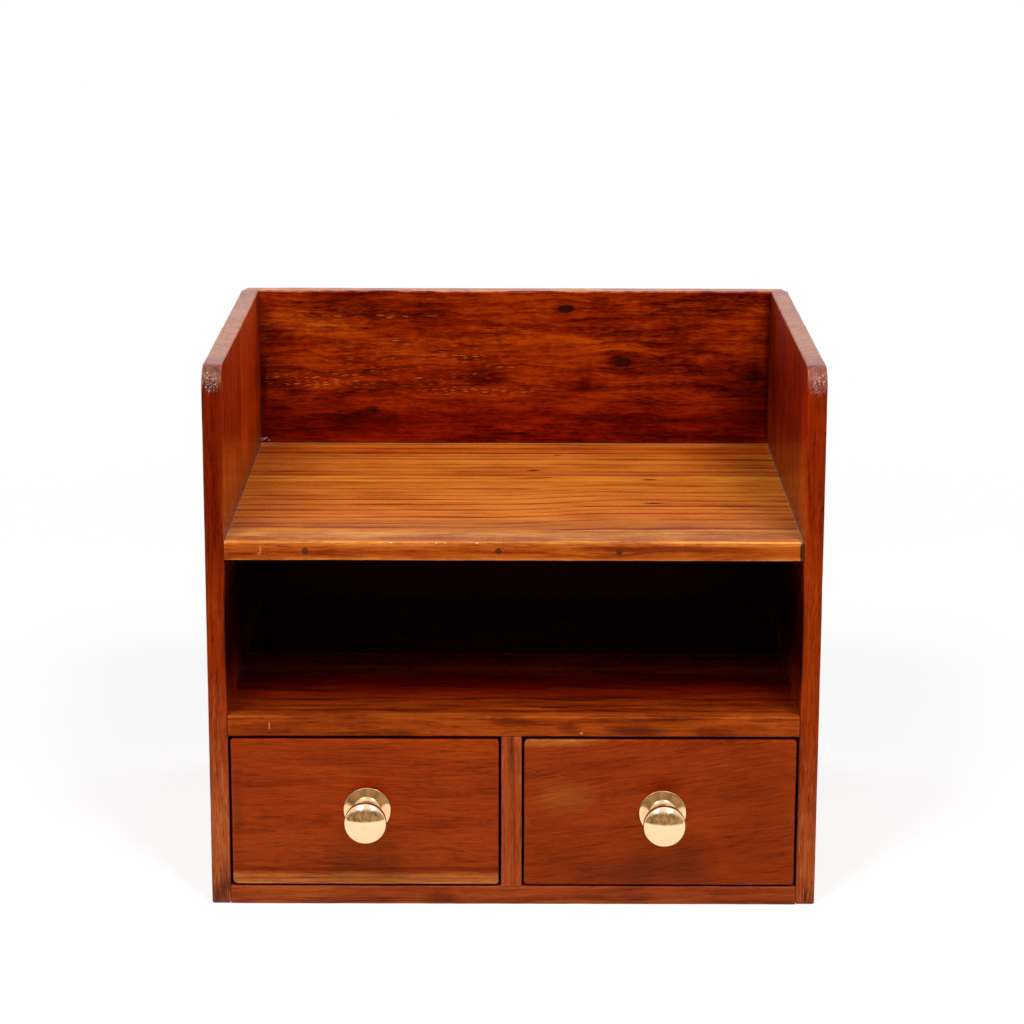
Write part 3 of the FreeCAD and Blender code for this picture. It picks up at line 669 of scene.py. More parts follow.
TIMBERS = {
    "left_side_front_board": Timber(
        # painted glints on the rounded corner
        seed=11, **SIDE, flecks=(*painted_corner_glints(-159.8), scuffs(-160, 30, 120, 0.42)), patches=(
            # painted shade inside the compartment
            painted_shade_inside(INNER_LEFT),
            inside(INNER_LEFT, 262, 56, (1.34, 1.05, 0.5)),
            # painted light: the inner face made lighter just above the shelf, standing in for light
            # bounced off it
            inside(INNER_LEFT, 222, 30, (1.30, 1.7, 1.2)),
            on_front(-160, 262, 20, 110, (0.64, 0.40, 0.4), 0.3, 0.7),
            # painted sheen on the rounded corner
            painted_corner_sheen(-159.8, (0.70, 2.7, 24.0)),
            on_front(-160, 30, 20, 110, (1.44, 3.0, 10.0), 0.4, 0.9),
            on_front(-160, 6, 9, 14, (0.60, 0.56, 0.85)),
            on_front(-157, 12, 4.5, 20, (0.50, 0.5, 0.8)),
            on_front(-163, 4, 5, 9, (0.45, 0.4, 0.6)),
            # painted reflection on the top edge
            painted_top_reflection(-160),
        )),
    "left_side_rear_board": Timber(
        seed=23, **{**SIDE, "corner": 0.0, "pith": (0, 120, 60)},
        # painted shade inside the compartment
        patches=(painted_shade_inside(INNER_LEFT), inside(INNER_LEFT, 262, 56, (1.60, 1.20, 0.5)),
                 # painted light just above the shelf, standing in for light bounced off it, and a
                 # painted reflection on the top edge
                 inside(INNER_LEFT, 222, 30, (1.40, 1.8, 1.2)), painted_top_reflection(-160))),
    "right_side_front_board": Timber(
        seed=37, **{**SIDE, "pith": (0, 40, 70)},
        # painted glints on the rounded corner
        flecks=(*painted_corner_glints(159.8), scuffs(160, 20, 100, 0.34)), patches=(
            # painted shade inside the compartment
            painted_shade_inside(INNER_RIGHT),
            inside(INNER_RIGHT, 268, 56, (0.86, 0.40, 0.3)),
            inside(INNER_RIGHT, 250, 80, (1.75, 2.1, 1.0), -126, 54),
            on_front(160, 262, 20, 90, (0.84, 0.62, 0.5), 0.3, 0.7),
            # painted sheen on the rounded corner
            painted_corner_sheen(159.8, (0.94, 3.0, 28.0)),
            on_front(160, 10, 20, 100, (1.28, 2.3, 7.0), 0.4, 0.9),
            on_front(162, 4, 6, 8, (0.5, 0.45, 0.6)),
            # painted reflection on the top edge
            painted_top_reflection(160),
        )),
    "right_side_rear_board": Timber(
        seed=41, **{**SIDE, "corner": 0.0, "pith": (0, 90, -60)},
        # painted shade inside the compartment
        patches=(painted_shade_inside(INNER_RIGHT), inside(INNER_RIGHT, 268, 56, (0.56, 0.20, 0.3)),
                 # painted reflection on the top edge
                 painted_top_reflection(160))),
    "lower_back_board": Timber(
        # painted shade on the back's face inside the compartment
        seed=53, **BACK, patches=(((0, 118.4, 120), (EVERYWHERE, 1.4, 60), PAINTED_COMPARTMENT_SHADE, 0.2, 0.5),)),
    "upper_back_board": Timber(
        seed=61, **BACK,
        knots=(((31, 118, 288), (5.4, 14, 2.9), -0.6), ((66, 118, 255), (6.3, 14, 3.8), -0.6),
               ((-86, 118, 225), (3.4, 14, 1.5), -0.8)),
        patches=(
            # painted shade on the back's face inside the compartment
            ((0, 118.4, 172), (EVERYWHERE, 1.4, 28), PAINTED_COMPARTMENT_SHADE, 0.2, 0.5),
            band(214, 26, (0.70, 0.30, 0.6), 0.5, 0.8),
            # painted light: the back's top edge made pale, as if lit strongly from above
            ((0, 123, 299), (EVERYWHERE, 12, 1.6), (2.4, 9.0, 60.0), 0.2, 0.5),
            on_back(-120, 280, 56, 15, (1.40, 2.5, 3.0), 0.9, 0.9),
            on_back(-60, 264, 70, 9, (1.25, 1.8, 1.4), 0.9, 0.9),
            on_back(-4, 272, 34, 10, (1.40, 2.1, 1.2), 0.9, 0.9),
            on_back(56, 268, 46, 9, (1.35, 2.0, 1.2), 0.9, 0.9),
            on_back(110, 288, 56, 9, (1.20, 1.8, 1.4), 0.9, 0.9),
            on_back(20, 215, 66, 8, (1.20, 1.5, 1.0), 1.0, 0.9),
            on_back(-18, 246, 22, 7, (0.42, 0.16, 0.4)),
            on_back(-88, 284, 7, 3.6, (0.5, 0.22, 0.4)),
            on_back(-92, 218, 30, 10, (0.72, 0.45, 0.5)),
            on_back(43, 242, 5.5, 8, (0.6, 0.36, 0.5)),
            on_back(146, 248, 9, 7, (0.3, 0.16, 0.4)),
            on_back(140, 232, 34, 34, (0.62, 0.42, 0.6), 0.9, 0.9),
            on_back(135, 208, 26, 3.2, (0.4, 0.22, 0.4)),
            on_back(-153, 244, 4.5, 26, (0.40, 0.2, 0.3)),
            on_back(154, 250, 3.5, 60, (0.42, 0.24, 0.3)),
        ),
        flecks=(
            flecks((-86, 118, 283), (54, 6, 1.6), 0.40, (8.0, 0.55), (0.42, 0.16, 0.03)),
            flecks((-35, 118, 258), (34, 6, 3.4), 0.40, (6.0, 0.5), (0.42, 0.15, 0.025)),
            flecks((-120, 118, 244), (44, 6, 7), 0.50, (6.0, 0.5), (0.46, 0.17, 0.035)),
            flecks((-20, 118, 237), (54, 6, 3.6), 0.36, (6.0, 0.5), (0.42, 0.15, 0.025)),
            flecks((-60, 118, 256), (90, 6, 24), 0.20, (7.0, 0.5), (0.34, 0.10, 0.012)),
            flecks((-152, 118, 207.4), (5, 6, 2.6), 0.95, (1.8, 1.2), (0.62, 0.50, 0.46)),
        )),
    "upper_shelf_front_strip": Timber(
        colour="strip_colour", light=(1.35, 1.8, 2.4), dark=(0.50, 0.34, 0.35), seed=71,
        spacing=7.0, line=0.16, tone=0.10, fibre=0.26, strand=0.30, fine=0.34, blotch=0.36,
        pores=0.34, pith=(0, -150, 20), waver=14, waver_length=80, shine_tint=(1.0, 0.42, 0.16),
        patches=(
            ((0, -112, 205), (EVERYWHERE, 13, 2.2), (1.2, 1.9, 3.6), 0.5, 0.9),
            # painted highlight along the strip's rounded front edge
            ((0, -127.6, 205.2), (EVERYWHERE, 2.2, 1.6), (1.25, 1.7, 2.2), 0.5, 0.6),
            on_front(0, 199, EVERYWHERE, 4.4, (0.74, 0.48, 0.24), 0.4, 0.5),
            on_top(-112, 205, 14, (0.84, 0.80, 0.85), 0.8, 0.9, 130, 60),
            on_front(-136, 198.2, 1.3, 1.0, (1.5, 3.2, 14.0), 0.9, 0.4),
            on_front(-135.2, 200.2, 0.5, 2.2, (1.5, 3.2, 14.0), 0.6, 0.4),
            ((154, -128.4, 199), (2.0, 8, 9), (0.10, 0.16, 0.4), 0.5, 0.4),
            on_front(80, 201, 70, 2.4, (0.5, 0.34, 0.5), 1.5),
        ),
        flecks=(flecks((0, -128.2, 205.2), (EVERYWHERE, 2.0, 2.0), 0.06, (2.4, 0.7),
                       (0.90, 0.74, 0.60)),)),
    "upper_shelf_middle_board": Timber(
        seed=83, **{**SHELF, "dark": (0.50, 0.30, 0.30)}, pith=(0, 620, -120), spacing=9.5,
        line=0.46, line_share=0.30, uneven=1.1, waver=5, waver_length=170, waver_width=60,
        drift=(-12, 55, 9),
        knots=(((78, 19.4, 205), (3.2, 1.3, 9), -0.7), ((78, -39.6, 205), (4.2, 1.3, 9), -0.7)),
        patches=(on_top(19, 205, 8, (1.18, 1.45, 1.2), 0.9),
                 on_top(-92, 205, 17, (0.78, 0.84, 1.0), 0.6, 0.8),
                 on_top(-30, 205, 70, (1.12, 1.20, 1.2), 0.5, 0.9, -10, 110),
                 on_top(-20, 205, 90, (1.10, 1.20, 1.0), 0.5, 0.9, 140, 50))),
    "upper_shelf_rear_board": Timber(
        seed=97, **SHELF, pith=(0, 700, -160), spacing=9.0, line=0.38, line_share=0.34,
        uneven=1.1, waver=4, waver_length=200, waver_width=60,
        knots=(((11, 42.6, 205), (2.6, 1.4, 9), -0.7), ((25.6, 83.6, 205), (1.6, 0.9, 9), -0.7)),
        patches=(on_top(32, 205, 5, (0.72, 0.62, 0.7)),
                 on_top(75, 205, 60, (1.14, 1.25, 1.3), 0.5, 0.9, -10, 90),
                 on_top(98, 205, 18, (0.88, 0.62, 0.5), 0.6, 0.9),
                 on_top(48, 205, 5, (0.84, 0.70, 0.7), 0.9, 0.8, -30, 90),
                 on_top(75, 205, 60, (0.86, 0.74, 0.6), 0.5, 0.9, 130, 50)),
        flecks=(flecks((-150, 114, 205), (8, 6, 3), 0.8, (2.4, 1.4), (0.80, 0.66, 0.56)),
                flecks((120, 112, 205), (36, 5, 3), 0.10, (2.0, 1.2), (0.80, 0.60, 0.44)))),
    "middle_shelf_front_board": Timber(
        seed=101, **LOWER, pith=(0, -60, 160),
        knots=(((22, -111, 107.6), (9, 1.4, 5), -0.6),),
        patches=(
            on_front(66, 100, 22, 4.5, (0.34, 0.20, 0.5), 0.9),
            on_front(30, 101, 9, 4, (0.55, 0.4, 0.6), 0.9),
            on_front(105, 99.5, 16, 3.5, (0.5, 0.3, 0.5), 1.0),
            on_front(-130, 100, 30, 9, (0.85, 0.7, 1.0), 0.9),
            # painted highlight along the rounded top front edge
            on_top(-127, 107.6, 6, (1.35, 1.9, 2.4), 0.6),
            # painted shade: the top darkened deeper into the compartment
            on_top(-70, 107.6, 44, (0.52, 0.22, 0.2), 0.4, 0.7),
            on_top(-60, 107.6, 30, (0.50, 0.20, 0.3), 0.4, 0.9),
            on_front(-132, 102, 0.6, 2.2, (2.2, 7, 30), 0.6, 0.3),
            on_front(36.6, 98.2, 0.9, 0.7, (2.2, 7, 30), 0.6, 0.3),
        )),
    "middle_shelf_rear_board": Timber(
        seed=107, **LOWER,
        # painted shade on the shelf's top inside the compartment
        patches=(((0, 60, 107.6), (EVERYWHERE, EVERYWHERE, 1.4), PAINTED_COMPARTMENT_SHADE, 0.2, 0.5),)),
    "bottom_front_board": Timber(
        seed=113, **FLOOR, pith=(0, 60, 140),
        patches=(on_front(-40, 4, 12, 7, (0.55, 0.42, 0.6), 1.0),
                 on_front(-120, 5, 40, 9, (1.12, 1.35, 1.3)))),
    "bottom_rear_board": Timber(seed=127, **FLOOR),
    "divider_front_board": Timber(
        seed=131, **{**FLOOR, "grain": "z", "fine": 0.4},
        patches=(on_front(0, 50, 20, 90, (1.16, 1.25, 1.3), 0.3, 0.5),)),
    "divider_rear_board": Timber(seed=137, **{**FLOOR, "grain": "z"}),
    "left_drawer_front": Timber(
        seed=149, **FRONT, pith=(0, 40, 150), spacing=6.5, waver=16, waver_length=140,
        patches=(
            band(14.4, 4.6, (1.50, 4.1, 9.6), 0.7),
            band(12.0, 1.2, (1.2, 1.4, 1.8), 1.1),
            band(15.2, 0.7, (0.80, 0.70, 0.7), 1.2),
            band(20.6, 1.4, (0.62, 0.5, 0.7), 1.2),
            ((-24, -128, 87), (30, 20, 8), (1.12, 1.45, 1.1), 0.9, 0.9),
            ((-10, -128, 70), (26, 20, 10), (0.80, 0.66, 0.7), 0.9, 0.8),
            ((-79, -128, 68), (11, 20, 7), (0.90, 0.62, 0.4), 0.6, 0.9),
            ((-150, -128, 55), (6, 20, 40), (0.8, 0.8, 1.2), 0.8, 0.9),
            band(30, 22, (1.0, 1.14, 1.5), 0.6, 0.9),
        )),
    "right_drawer_front": Timber(
        seed=157, **FRONT, pith=(0, 70, 20), spacing=8.0, waver=24, waver_length=90, slope=0.16,
        patches=(
            ((81, -128, 54), (120, 20, 90), (0.90, 0.90, 0.95), 0.3, 0.5),
            ((14, -128, 94), (46, 20, 4.5), (1.40, 3.6, 8.0), 0.9, 0.7),
            ((81, -128, 70), (12, 20, 9), (0.90, 0.60, 0.4), 0.6, 0.9),
            ((132, -128, 60), (26, 20, 60), (0.84, 0.82, 0.95), 0.6, 0.9),
            ((28, -128, 62), (22, 20, 14), (1.06, 2.1, 3.2), 0.9, 0.9),
            ((60, -128, 18), (90, 20, 16), (0.76, 0.80, 1.6), 0.7, 0.9),
        )),
}
for drawer_name, first_seed in (("left_drawer", 211), ("right_drawer", 251)):
    TIMBERS[drawer_name + "_left_side"] = Timber(seed=first_seed, **{**PLAIN, "grain": "y"})
    TIMBERS[drawer_name + "_right_side"] = Timber(seed=first_seed + 7, **{**PLAIN, "grain": "y"})
    TIMBERS[drawer_name + "_back"] = Timber(seed=first_seed + 19, **PLAIN)

GRAIN_ORDER = {"x": (0, 1, 2), "y": (1, 0, 2), "z": (2, 1, 0)}


# Materials

def new_material(name):
    """An empty material, its net and its shader."""
    material = bpy.data.materials.new(name)
    material.use_nodes = True
    material.node_tree.nodes.clear()
    net = Net(material.node_tree)
    shader = net.node("ShaderNodeBsdfPrincipled")
    output = net.node("ShaderNodeOutputMaterial")
    net.tree.links.new(shader.outputs[0], output.inputs["Surface"])
    return material, net, shader


def in_millimetres(net):
    """The place on the object, in millimetres of the case's own frame."""
    return net.scaled(net.node("ShaderNodeTexCoord").outputs["Object"], 1 / MM)


def along_grain(net, place, timber):
    """The same place with the grain as its first direction, in a fresh piece of timber."""
    parts = net.split(place)
    lowered = net.math("SUBTRACT", parts[2], net.math("MULTIPLY", parts[0], timber.slope))
    parts = [parts[0], parts[1], lowered]
    turned = net.join(*(parts[index] for index in GRAIN_ORDER[timber.grain]))
    moved = net.vector("ADD", turned, tuple(timber_offset(timber)))
    stretch = (timber.sway_length, 0.35 * timber.sway_length, 0.35 * timber.sway_length)
    sway = net.away(net.noise(net.vector("DIVIDE", moved, stretch), 1.5), 2 * timber.sway)
    return net.vector("ADD", moved, net.join(0.0, sway, sway))


def timber_offset(timber):
    """Where in the endless timber this board is cut from."""
    return Vector((timber.seed * 13.7, timber.seed * 5.1, timber.seed * 9.3))


def bumped(net, shader, height, distance, strength=1.0):
    """Lets a height shape the shader's normal."""
    bump = net.node("ShaderNodeBump")
    net.feed(bump.inputs["Strength"], strength)
    net.feed(bump.inputs["Distance"], distance)
    net.feed(bump.inputs["Height"], height)
    net.feed(shader.inputs["Normal"], bump.outputs[0])


def place_knots(net, timber, place):
    """The board's knots, and the place as the grain bends round them."""
    knots = []
    bent = place
    for centre, reach, push in timber.knots:
        knot = net.group("Wood Knot", Place=place, Centre=centre, Reach=reach, Push=push)
        bent = net.vector("ADD", bent, net.join(0.0, knot["Shift Y"], knot["Shift Z"]))
        knots.append(knot)
    return knots, bent


def wood_figure(net, timber, grain):
    """How dark the wood is at each place, with its fine fibre and its pores."""
    offset = timber_offset(timber)
    rings = net.group(
        "Growth Rings", Grain=grain, Pith=tuple(offset + Vector(timber.pith)),
        Spacing=timber.spacing, Line_Share=timber.line_share, Waver=timber.waver,
        Waver_Length=timber.waver_length, Waver_Width=timber.waver_width,
        Drift_Start=timber.drift[0] + offset.x, Drift_End=timber.drift[1] + offset.x,
        Drift=timber.drift[2], Uneven=timber.uneven)
    long, wide = timber.length, timber.coarse
    broad = net.group("Wood Fibre", Grain=grain, Length=80.0 * long, Width=3.4 * wide, Detail=3.0)
    strand = net.group("Wood Fibre", Grain=grain, Length=34.0 * long, Width=1.1 * wide, Detail=3.0)
    fine = net.group("Wood Fibre", Grain=grain, Length=13.0 * long, Width=0.42 * wide, Detail=2.0)
    rare = net.group("Wood Fibre", Grain=grain, Length=30.0 * long, Width=0.75 * wide, Detail=3.0,
                     From=0.56, To=0.68)
    cloud = net.group("Wood Fibre", Grain=grain, Length=48.0, Width=15.0, Detail=2.0)
    mottle = net.group("Wood Fibre", Grain=grain, Length=5.0, Width=1.7, Detail=3.0)
    pores = net.group("Wood Pores", Grain=grain, Length=7.0, Width=0.5, Share=timber.pore_share)
    darkness = net.total(
        timber.base,
        net.math("MULTIPLY", rings["Line"], timber.line),
        net.away(rings["Tone"], timber.tone),
        net.away(broad["Streak"], timber.fibre),
        net.away(strand["Streak"], timber.strand),
        net.away(fine["Streak"], timber.fine),
        net.math("MULTIPLY", rare["Streak"], timber.dark_streaks),
        net.away(cloud["Streak"], timber.blotch),
        net.away(mottle["Streak"], timber.mottle),
        net.math("MULTIPLY", pores["Mask"], timber.pores))
    return darkness, fine["Streak"], pores["Mask"]


def multiplied(tone, factors):
    """A colour with each channel scaled by its own factor, and kept below white."""
    return tuple(min(0.92, level * factor) for level, factor in zip(tone, factors))


def wood_colour(net, timber, tone, place):
    """The wood's colour with its knots, stains and flecks, its height and its grain."""
    knots, bent = place_knots(net, timber, place)
    grain = along_grain(net, bent, timber)
    darkness, fine, pores = wood_figure(net, timber, grain)
    dark = multiplied(tone, timber.dark)
    colour = net.ramp(darkness, ((0.0, multiplied(tone, timber.light)), (0.42, tuple(tone)),
                                 (0.84, dark), (1.0, multiplied(dark, (0.5, 0.5, 0.6)))))
    for centre, reach, tint, ragged, softness in timber.patches:
        patch = net.group("Soft Patch", Place=place, Grain=grain, Centre=centre, Reach=reach,
                          Ragged=ragged, Softness=softness)
        colour = net.mix(patch["Mask"], colour, opaque(tint), "MULTIPLY")
    for knot in knots:
        colour = net.mix(knot["Halo"], colour, (0.62, 0.46, 0.5, 1.0), "MULTIPLY")
        colour = net.mix(knot["Tail"], colour, (0.34, 0.22, 0.3, 1.0), "MULTIPLY")
        colour = net.mix(knot["Core"], colour, (0.016, 0.002, 0.001, 1.0))
    for centre, reach, share, (length, width), fleck_colour in timber.flecks:
        area = net.group("Soft Patch", Place=place, Grain=grain, Centre=centre, Reach=reach,
                         Ragged=0.5, Softness=0.6)
        dashes = net.group("Wood Pores", Grain=grain, Length=length, Width=width, Share=share)
        fleck = net.math("MULTIPLY", area["Mask"], dashes["Mask"])
        colour = net.mix(net.math("MULTIPLY", fleck, 0.8), colour, opaque(fleck_colour))
    height = net.math("SUBTRACT", net.math("MULTIPLY", fine, 0.5), pores)
    return colour, height, grain


def board_frame(node):
    """The middle and the half size of a packed board, in millimetres."""
    low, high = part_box(node)
    return tuple((low + high) / 2 / MM), tuple((high - low) / 2 / MM)


def polished_wood(node, settings):
    """Lacquered wood of one board, rubbed pale at its edges."""
    timber = TIMBERS[node]
    material, net, shader = new_material(node + "_lacquered")
    place = in_millimetres(net)
    colour, height, grain = wood_colour(net, timber, getattr(settings, timber.colour), place)
    centre, half = board_frame(node)
    rub = net.group("Edge Rub", Place=place, Centre=centre, Half=half, Corner=timber.corner)
    worn = net.math("MULTIPLY", rub["Mask"], settings.edge_wear * timber.rub)
    colour = net.mix(worn, colour, (1.30, 1.62, 2.2, 1.0), "MULTIPLY")
    skin = net.group("Lacquer Skin", Grain=grain, Gloss=settings.gloss)
    net.feed(shader.inputs["Base Color"], colour)
    net.feed(shader.inputs["Roughness"], net.math("ADD", skin["Roughness"],
                                                  net.math("MULTIPLY", rub["Mask"], 0.08)))
    shader.inputs["Specular IOR Level"].default_value = timber.shine
    shader.inputs["Specular Tint"].default_value = opaque(timber.shine_tint)
    bumped(net, shader, net.math("ADD", skin["Height"], net.math("MULTIPLY", height, 0.22)),
           0.00016, 0.55)
    return material


def plain_wood(node, settings):
    """Sanded wood without lacquer, for the drawer boxes."""
    timber = TIMBERS[node]
    material, net, shader = new_material(node + "_sanded")
    place = in_millimetres(net)
    colour, height, grain = wood_colour(net, timber, getattr(settings, timber.colour), place)
    centre, half = board_frame(node)
    rub = net.group("Edge Rub", Place=place, Centre=centre, Half=half)
    colour = net.mix(net.math("MULTIPLY", rub["Mask"], 0.5), colour, (0.7, 0.62, 0.5, 1.0),
                     "MULTIPLY")
    net.feed(shader.inputs["Base Color"], colour)
    net.feed(shader.inputs["Roughness"], net.math("ADD", 0.62, net.math("MULTIPLY", height, 0.1)))
    shader.inputs["Specular IOR Level"].default_value = 0.3
    bumped(net, shader, height, 0.00012, 0.8)
    return material


def plywood(node, settings):
    """Thin plywood: a pale face sheet, with its layers at the edges."""
    material, net, shader = new_material(node + "_plywood")
    timber = Timber(colour="plywood_colour", grain="y", seed=len(node) * 3.0,
                    light=(1.15, 1.2, 1.3), dark=(0.72, 0.62, 0.5), pith=(0, 10, -320),
                    spacing=34, waver=60, waver_length=160, dark_streaks=0.15, pores=0.34)
    place = in_millimetres(net)
    colour, height, grain = wood_colour(net, timber, getattr(settings, timber.colour), place)
    centre, half = board_frame(node)
    layers = net.group("Plywood Layers", Place=place, Base=centre[2] - half[2],
                       Sheet=2 * half[2] / 3)
    colour = net.mix(net.math("MULTIPLY", layers["Cross"], 0.45), colour, (0.62, 0.5, 0.4, 1.0),
                     "MULTIPLY")
    face = net.node("ShaderNodeNewGeometry").outputs["Normal"]
    side_on = net.smooth(net.math("ABSOLUTE", net.split(face)[2]), 0.7, 0.3)
    glue = net.math("MULTIPLY", layers["Glue"], side_on)
    colour = net.mix(glue, colour, (0.3, 0.2, 0.14, 1.0), "MULTIPLY")
    net.feed(shader.inputs["Base Color"], colour)
    net.feed(shader.inputs["Roughness"], net.math("ADD", 0.66, net.math("MULTIPLY", height, 0.08)))
    shader.inputs["Specular IOR Level"].default_value = 0.3
    bumped(net, shader, height, 0.00010, 0.8)
    return material


FOOT_TARNISH = (0.88, 0.82, 0.70)


def brass(name, axis, settings):
    """Polished brass with turning marks around the knob's axis."""
    material, net, shader = new_material(name)
    place = in_millimetres(net)
    out_of_foot = net.math("SUBTRACT", axis[1], net.split(place)[1])
    head = net.smooth(out_of_foot, 9.0, 13.0)
    polish = net.smooth(out_of_foot, 9.0, 13.0, settings.foot_roughness, settings.brass_roughness)
    marks = net.group("Turned Marks", Place=place, Axis=axis, Roughness=polish)
    colour = net.mix(net.math("MULTIPLY", marks["Tarnish"], 0.35), opaque(settings.brass_colour),
                     opaque(multiplied(settings.brass_colour, (0.86, 0.78, 0.66))))
    hollow = net.math("MULTIPLY", net.smooth(out_of_foot, 0.8, 2.0), net.math("SUBTRACT", 1.0, head))
    colour = net.mix(hollow, colour, (*FOOT_TARNISH, 1.0), "MULTIPLY")
    net.feed(shader.inputs["Base Color"], colour)
    net.feed(shader.inputs["Roughness"], marks["Roughness"])
    shader.inputs["Metallic"].default_value = 1.0
    bumped(net, shader, marks["Height"], 0.00002, 0.5)
    return material


def steel(name, colour, roughness):
    """Plain steel of nails, screws and washers."""
    material, net, shader = new_material(name)
    grime = net.group("Grime", Place=in_millimetres(net))
    tinted = net.mix(net.math("MULTIPLY", grime["Cloud"], 0.6), opaque(colour),
                     opaque(multiplied(colour, (0.62, 0.55, 0.48))))
    net.feed(shader.inputs["Base Color"], tinted)
    net.feed(shader.inputs["Roughness"], net.math("ADD", roughness,
                                                  net.away(grime["Speck"], 0.2)))
    shader.inputs["Metallic"].default_value = 1.0
    bumped(net, shader, grime["Speck"], 0.00003, 0.6)
    return material


def filler(name, colour, roughness, depth=0.00012):
    """Putty or dried glue: a dull mass with specks."""
    material, net, shader = new_material(name)
    grime = net.group("Grime", Place=in_millimetres(net))
    clouded = net.mix(grime["Cloud"], opaque(multiplied(colour, (0.6, 0.55, 0.55))),
                      opaque(colour))
    speckled = net.mix(net.math("MULTIPLY", grime["Speck"], 0.5), clouded,
                       opaque(multiplied(colour, (1.7, 1.8, 2.0))))
    net.feed(shader.inputs["Base Color"], speckled)
    net.feed(shader.inputs["Roughness"], net.math("ADD", roughness,
                                                  net.away(grime["Cloud"], 0.2)))
    shader.inputs["Specular IOR Level"].default_value = 0.12
    shader.inputs["Specular Tint"].default_value = (1.0, 0.4, 0.2, 1.0)
    bumped(net, shader, grime["Speck"], depth, 0.8)
    return material


# Mesh making

def new_object(name, mesh):
    """An object in the scene for this mesh."""
    piece = bpy.data.objects.new(name, mesh)
    bpy.context.scene.collection.objects.link(piece)
    return piece


def drop_object(piece):
    """Removes a helper object and its mesh."""
    mesh = piece.data
    bpy.data.objects.remove(piece)
    bpy.data.meshes.remove(mesh)


def as_mesh(shape, name):
    """A mesh from a finished bmesh."""
    mesh = bpy.data.meshes.new(name)
    shape.to_mesh(mesh)
    shape.free()
    return mesh


def applied(piece):
    """The piece's mesh with its modifiers applied."""
    bpy.context.view_layer.update()
    graph = bpy.context.evaluated_depsgraph_get()
    return bpy.data.meshes.new_from_object(piece.evaluated_get(graph))


def rounded_rectangle(low, high, radii, steps=7):
    """Points round a rectangle. The radii are for its corners in turn, from the lowest one."""
    corners = (
        (low[0], low[1], 1, 1, math.pi), (high[0], low[1], -1, 1, 1.5 * math.pi),
        (high[0], high[1], -1, -1, 0.0), (low[0], high[1], 1, -1, 0.5 * math.pi),
    )
    points = []
    for (x, y, inward_x, inward_y, start), radius in zip(corners, radii):
        if radius <= 0:
            points.append((x, y))
            continue
        middle = (x + inward_x * radius, y + inward_y * radius)
        for step in range(steps + 1):
            angle = start + 0.5 * math.pi * step / steps
            points.append((middle[0] + radius * math.cos(angle),
                           middle[1] + radius * math.sin(angle)))
    return points


def prism(outline, across, low, high):
    """A solid with this outline, drawn out along the axis with this number."""
    shape = bmesh.new()
    plane = [axis for axis in range(3) if axis != across]
    rings = []
    for level in (low, high):
        ring = []
        for first, second in outline:
            place = [0.0, 0.0, 0.0]
            place[plane[0]], place[plane[1]], place[across] = first, second, level
            ring.append(shape.verts.new(place))
        shape.faces.new(ring)
        rings.append(ring)
    count = len(outline)
    for index in range(count):
        after = (index + 1) % count
        shape.faces.new((rings[0][index], rings[0][after], rings[1][after], rings[1][index]))
    bmesh.ops.recalc_face_normals(shape, faces=shape.faces)
    return shape


SIDE_NAMES = (("left", "right"), ("front", "rear"), ("low", "top"))


def sides_touched(place, low, high):
    """The names of the board's sides that this place lies on."""
    found = set()
    for axis, names in enumerate(SIDE_NAMES):
        if place[axis] - low[axis] < 1e-5:
            found.add(names[0])
        if high[axis] - place[axis] < 1e-5:
            found.add(names[1])
    return found


def weigh_edges(shape, low, high, rounding):
    """Marks how far each sharp edge is rounded, and returns the largest radius."""
    weights = shape.edges.layers.float.new("bevel_weight_edge")
    largest = max(radius for sides, radius in rounding)
    for edge in shape.edges:
        if edge.calc_face_angle(0.0) < math.radians(30):
            continue
        touched = sides_touched((edge.verts[0].co + edge.verts[1].co) / 2, low, high)
        radius = next(radius for sides, radius in rounding if sides <= touched)
        edge[weights] = radius / largest
    return largest


def cut_across(shape, low, high, step):
    """Adds mesh lines across the board at even steps."""
    for axis in range(3):
        length = high[axis] - low[axis]
        count = max(2, round(length / step))
        direction = Vector((0, 0, 0))
        direction[axis] = 1
        for index in range(1, count):
            place = Vector((0, 0, 0))
            place[axis] = low[axis] + length * index / count
            parts = shape.verts[:] + shape.edges[:] + shape.faces[:]
            bmesh.ops.bisect_plane(shape, geom=parts, dist=1e-7, plane_co=place, plane_no=direction)


def unevenness(place, size, seed):
    """A smooth random value from 0 to 1 that changes over this distance."""
    return 0.5 + 0.5 * noise.noise(place / size + Vector((seed, 1.7 * seed, 0.3 * seed)))


SURFACE_REACH = 3.2 * MM
EDGE_REACH = 7 * MM
WAVE_LENGTH = 55 * MM
CHATTER_LENGTH = 16 * MM


def work_by_hand(shape, low, high, wave, chatter, seed, tight=()):
    """Moves the surface inward a little, more along the edges, as planing and sanding do."""
    for vert in shape.verts:
        place = vert.co.copy()
        gaps = [min(place[axis] - low[axis], high[axis] - place[axis]) for axis in range(3)]
        for axis, names in enumerate(SIDE_NAMES):
            for side in (0, 1):
                gap = (high[axis] - place[axis]) if side else (place[axis] - low[axis])
                if gap > SURFACE_REACH or names[side] in tight:
                    continue
                other = min(gaps[index] for index in range(3) if index != axis)
                nearness = max(0.0, 1 - other / EDGE_REACH)
                turn = seed + 10 * axis + 5 * side
                push = (wave * unevenness(place, WAVE_LENGTH, turn)
                        + chatter * nearness ** 2 * unevenness(place, CHATTER_LENGTH, turn + 2) ** 2)
                push *= 1 - gap / SURFACE_REACH
                vert.co[axis] += -push if side else push


